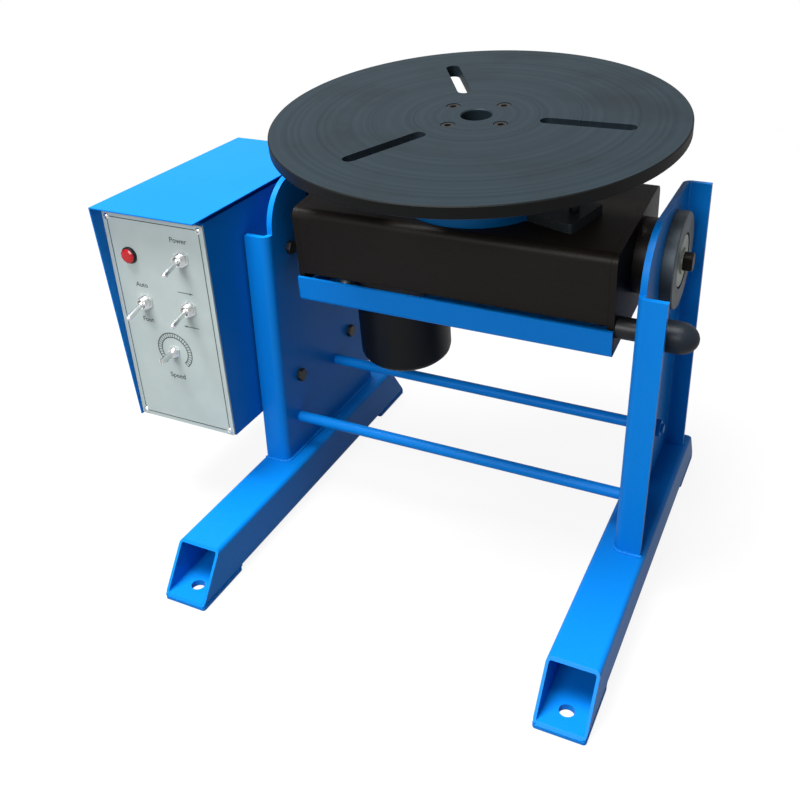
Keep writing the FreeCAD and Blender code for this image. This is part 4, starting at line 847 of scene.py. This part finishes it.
label("power_label", "Power", spots["power"].x - 0.0015, spots["power"].y + 0.0185, 0.0055)
label("mode_high_label", "Auto", spots["mode"].x - 0.0017, spots["mode"].y + 0.0185, 0.0052)
label("mode_low_label", "Foot", spots["mode"].x - 0.002, spots["mode"].y - 0.0220, 0.0052)
label("speed_label", "Speed", speed_spot.x - 0.002, speed_spot.y - 0.0310, 0.0058)
edge_x = 5.5 * MM  # frame line from the panel's side edges
edge_y = 5.0 * MM  # and from its top and bottom edges
panel_wide = panel_high.x - panel_low.x
corners = [(-edge_x, -edge_y), (-edge_x, edge_y - panel_tall), (edge_x - panel_wide, edge_y - panel_tall),
           (edge_x - panel_wide, -edge_y)]
frame_line = [(corners[i], corners[(i + 1) % 4], False) for i in range(4)]
strips("panel_frame_line", frame_line, 0.0011)
turn_spot = spots["direction"]
strips("direction_arrows", [
    ((turn_spot.x - 0.0115, turn_spot.y + 0.0168), (turn_spot.x + 0.0035, turn_spot.y + 0.0168), True),
    ((turn_spot.x + 0.008, turn_spot.y - 0.0225), (turn_spot.x - 0.007, turn_spot.y - 0.0225), True)], 0.0009)
print("labels: 4, arrows: 2, frame line corners:", len(corners))

# %% [markdown]
# ## Camera
# The camera looks down from the front right, above the table, so that the table's
# face, the control panel and both feet are seen at once. It leans by a degree or two,
# as a camera held in the hand does.

# %% Camera


def place_camera(position, azimuth, elevation, roll, lens, shift):
    data = bpy.data.cameras.new("camera")
    data.lens = lens
    data.sensor_width = 36.0
    data.shift_x, data.shift_y = shift
    data.clip_start = 0.05
    data.clip_end = 30.0
    camera = bpy.data.objects.new("camera", data)
    scene.collection.objects.link(camera)
    a, e, r = (math.radians(value) for value in (azimuth, elevation, roll))
    back = Vector((math.sin(a) * math.cos(e), -math.cos(a) * math.cos(e), math.sin(e)))
    right = Vector((math.cos(a), math.sin(a), 0.0))
    up = back.cross(right)
    across = math.cos(r) * right + math.sin(r) * up
    upward = -math.sin(r) * right + math.cos(r) * up
    turn = Matrix((across, upward, back)).transposed()
    camera.matrix_world = Matrix.Translation(position) @ turn.to_4x4()
    scene.camera = camera


place_camera(Vector((0.3362, -0.7989, 0.6853)), azimuth=26.53, elevation=27.84, roll=-1.77,
             lens=43.57, shift=(0.0037, -0.0721))
print("camera lens:", scene.camera.data.lens, "mm")

# %% [markdown]
# ## Floor and light
# A product is shown on white paper. The camera sees the paper almost white, and the
# object only gets a little light back from it, so that the sides turned away from
# the lamps stay deep in tone. Of the three soft lamps, the large one hangs high at
# the left, a lower one fills the front, and a weak one reaches the right side.

# %% Paper floor
MIRRORED_WHITE = 0.45  # share of pure white that shiny surfaces see
PAPER_HALF_WIDTH = 9.0


def paper_floor():
    graph = Graph("paper", Roughness=0.9, Specular_IOR_Level=0.0)
    fibres = graph.noise(40.0, 3.0)
    path = graph.node("ShaderNodeLightPath")
    seen = Wire(graph, path.socket.node.outputs["Is Camera Ray"])
    shiny = Wire(graph, path.socket.node.outputs["Is Glossy Ray"])
    near = graph.mix(fibres, (0.90, 0.90, 0.90), (0.92, 0.92, 0.92))
    graph.feed(Base_Color=graph.mix(seen, (0.22, 0.22, 0.22), near))
    glow = graph.node("ShaderNodeEmission", {}, {"Color": (1, 1, 1, 1), "Strength": 1.0})
    far = graph.node("ShaderNodeVectorMath", {"operation": "LENGTH"}, {0: graph.place}, 1).above(0.7, 2.4)
    whiteness = seen * (0.90 + far * 0.10) + shiny * MIRRORED_WHITE
    lit = Wire(graph, graph.shader.outputs[0])
    mixed = graph.node("ShaderNodeMixShader", {}, {0: whiteness, 1: lit, 2: glow})
    end = graph.tree.nodes["Material Output"]
    graph.tree.links.new(mixed.socket, end.inputs["Surface"])
    mesh = bpy.data.meshes.new("paper")
    shape = bmesh.new()
    bmesh.ops.create_grid(shape, x_segments=1, y_segments=1, size=PAPER_HALF_WIDTH)
    shape.to_mesh(mesh)
    shape.free()
    mesh.materials.append(graph.material)
    floor = bpy.data.objects.new("paper_floor", mesh)
    floor.location.z = cad_box[0][2] - 0.0002
    scene.collection.objects.link(floor)


paper_floor()
print("paper width:", 2 * PAPER_HALF_WIDTH, "m")

# %% Lamps and sky


def soft_lamp(name, position, target, size, watts):
    data = bpy.data.lights.new(name, "AREA")
    data.size = size
    data.energy = watts
    lamp = bpy.data.objects.new(name, data)
    lamp.location = position
    lamp.rotation_euler = (Vector(target) - Vector(position)).to_track_quat("-Z", "Y").to_euler()
    scene.collection.objects.link(lamp)


soft_lamp("top", (-0.55, -0.45, 2.7), target=(0, 0, 0.25), size=1.4, watts=152.0)
soft_lamp("front", (-0.15, -2.7, 1.60), target=(0, 0, 0.2), size=1.1, watts=52.0)
soft_lamp("side", (2.3, 0.5, 0.6), target=(0, 0, 0.2), size=1.0, watts=1.8)


def white_sky(strength):
    """A weak even sky, which the camera sees as pure white and shiny surfaces see in part."""
    world = bpy.data.worlds.new("sky")
    world.use_nodes = True
    tree = world.node_tree
    back = tree.nodes["Background"]
    back.inputs["Strength"].default_value = strength
    back.inputs["Color"].default_value = (1, 1, 1, 1)
    white = tree.nodes.new("ShaderNodeBackground")
    mix = tree.nodes.new("ShaderNodeMixShader")
    path = tree.nodes.new("ShaderNodeLightPath")
    share = tree.nodes.new("ShaderNodeMath")
    share.operation = "MULTIPLY_ADD"
    share.inputs[1].default_value = MIRRORED_WHITE
    tree.links.new(path.outputs["Is Glossy Ray"], share.inputs[0])
    tree.links.new(path.outputs["Is Camera Ray"], share.inputs[2])
    tree.links.new(share.outputs[0], mix.inputs[0])
    tree.links.new(back.outputs[0], mix.inputs[1])
    tree.links.new(white.outputs[0], mix.inputs[2])
    white.inputs["Color"].default_value = (1, 1, 1, 1)
    tree.links.new(mix.outputs[0], tree.nodes["World Output"].inputs[0])
    scene.world = world


white_sky(0.10)
scene.view_settings.view_transform = "Standard"
print("lamps:", len(bpy.data.lights))
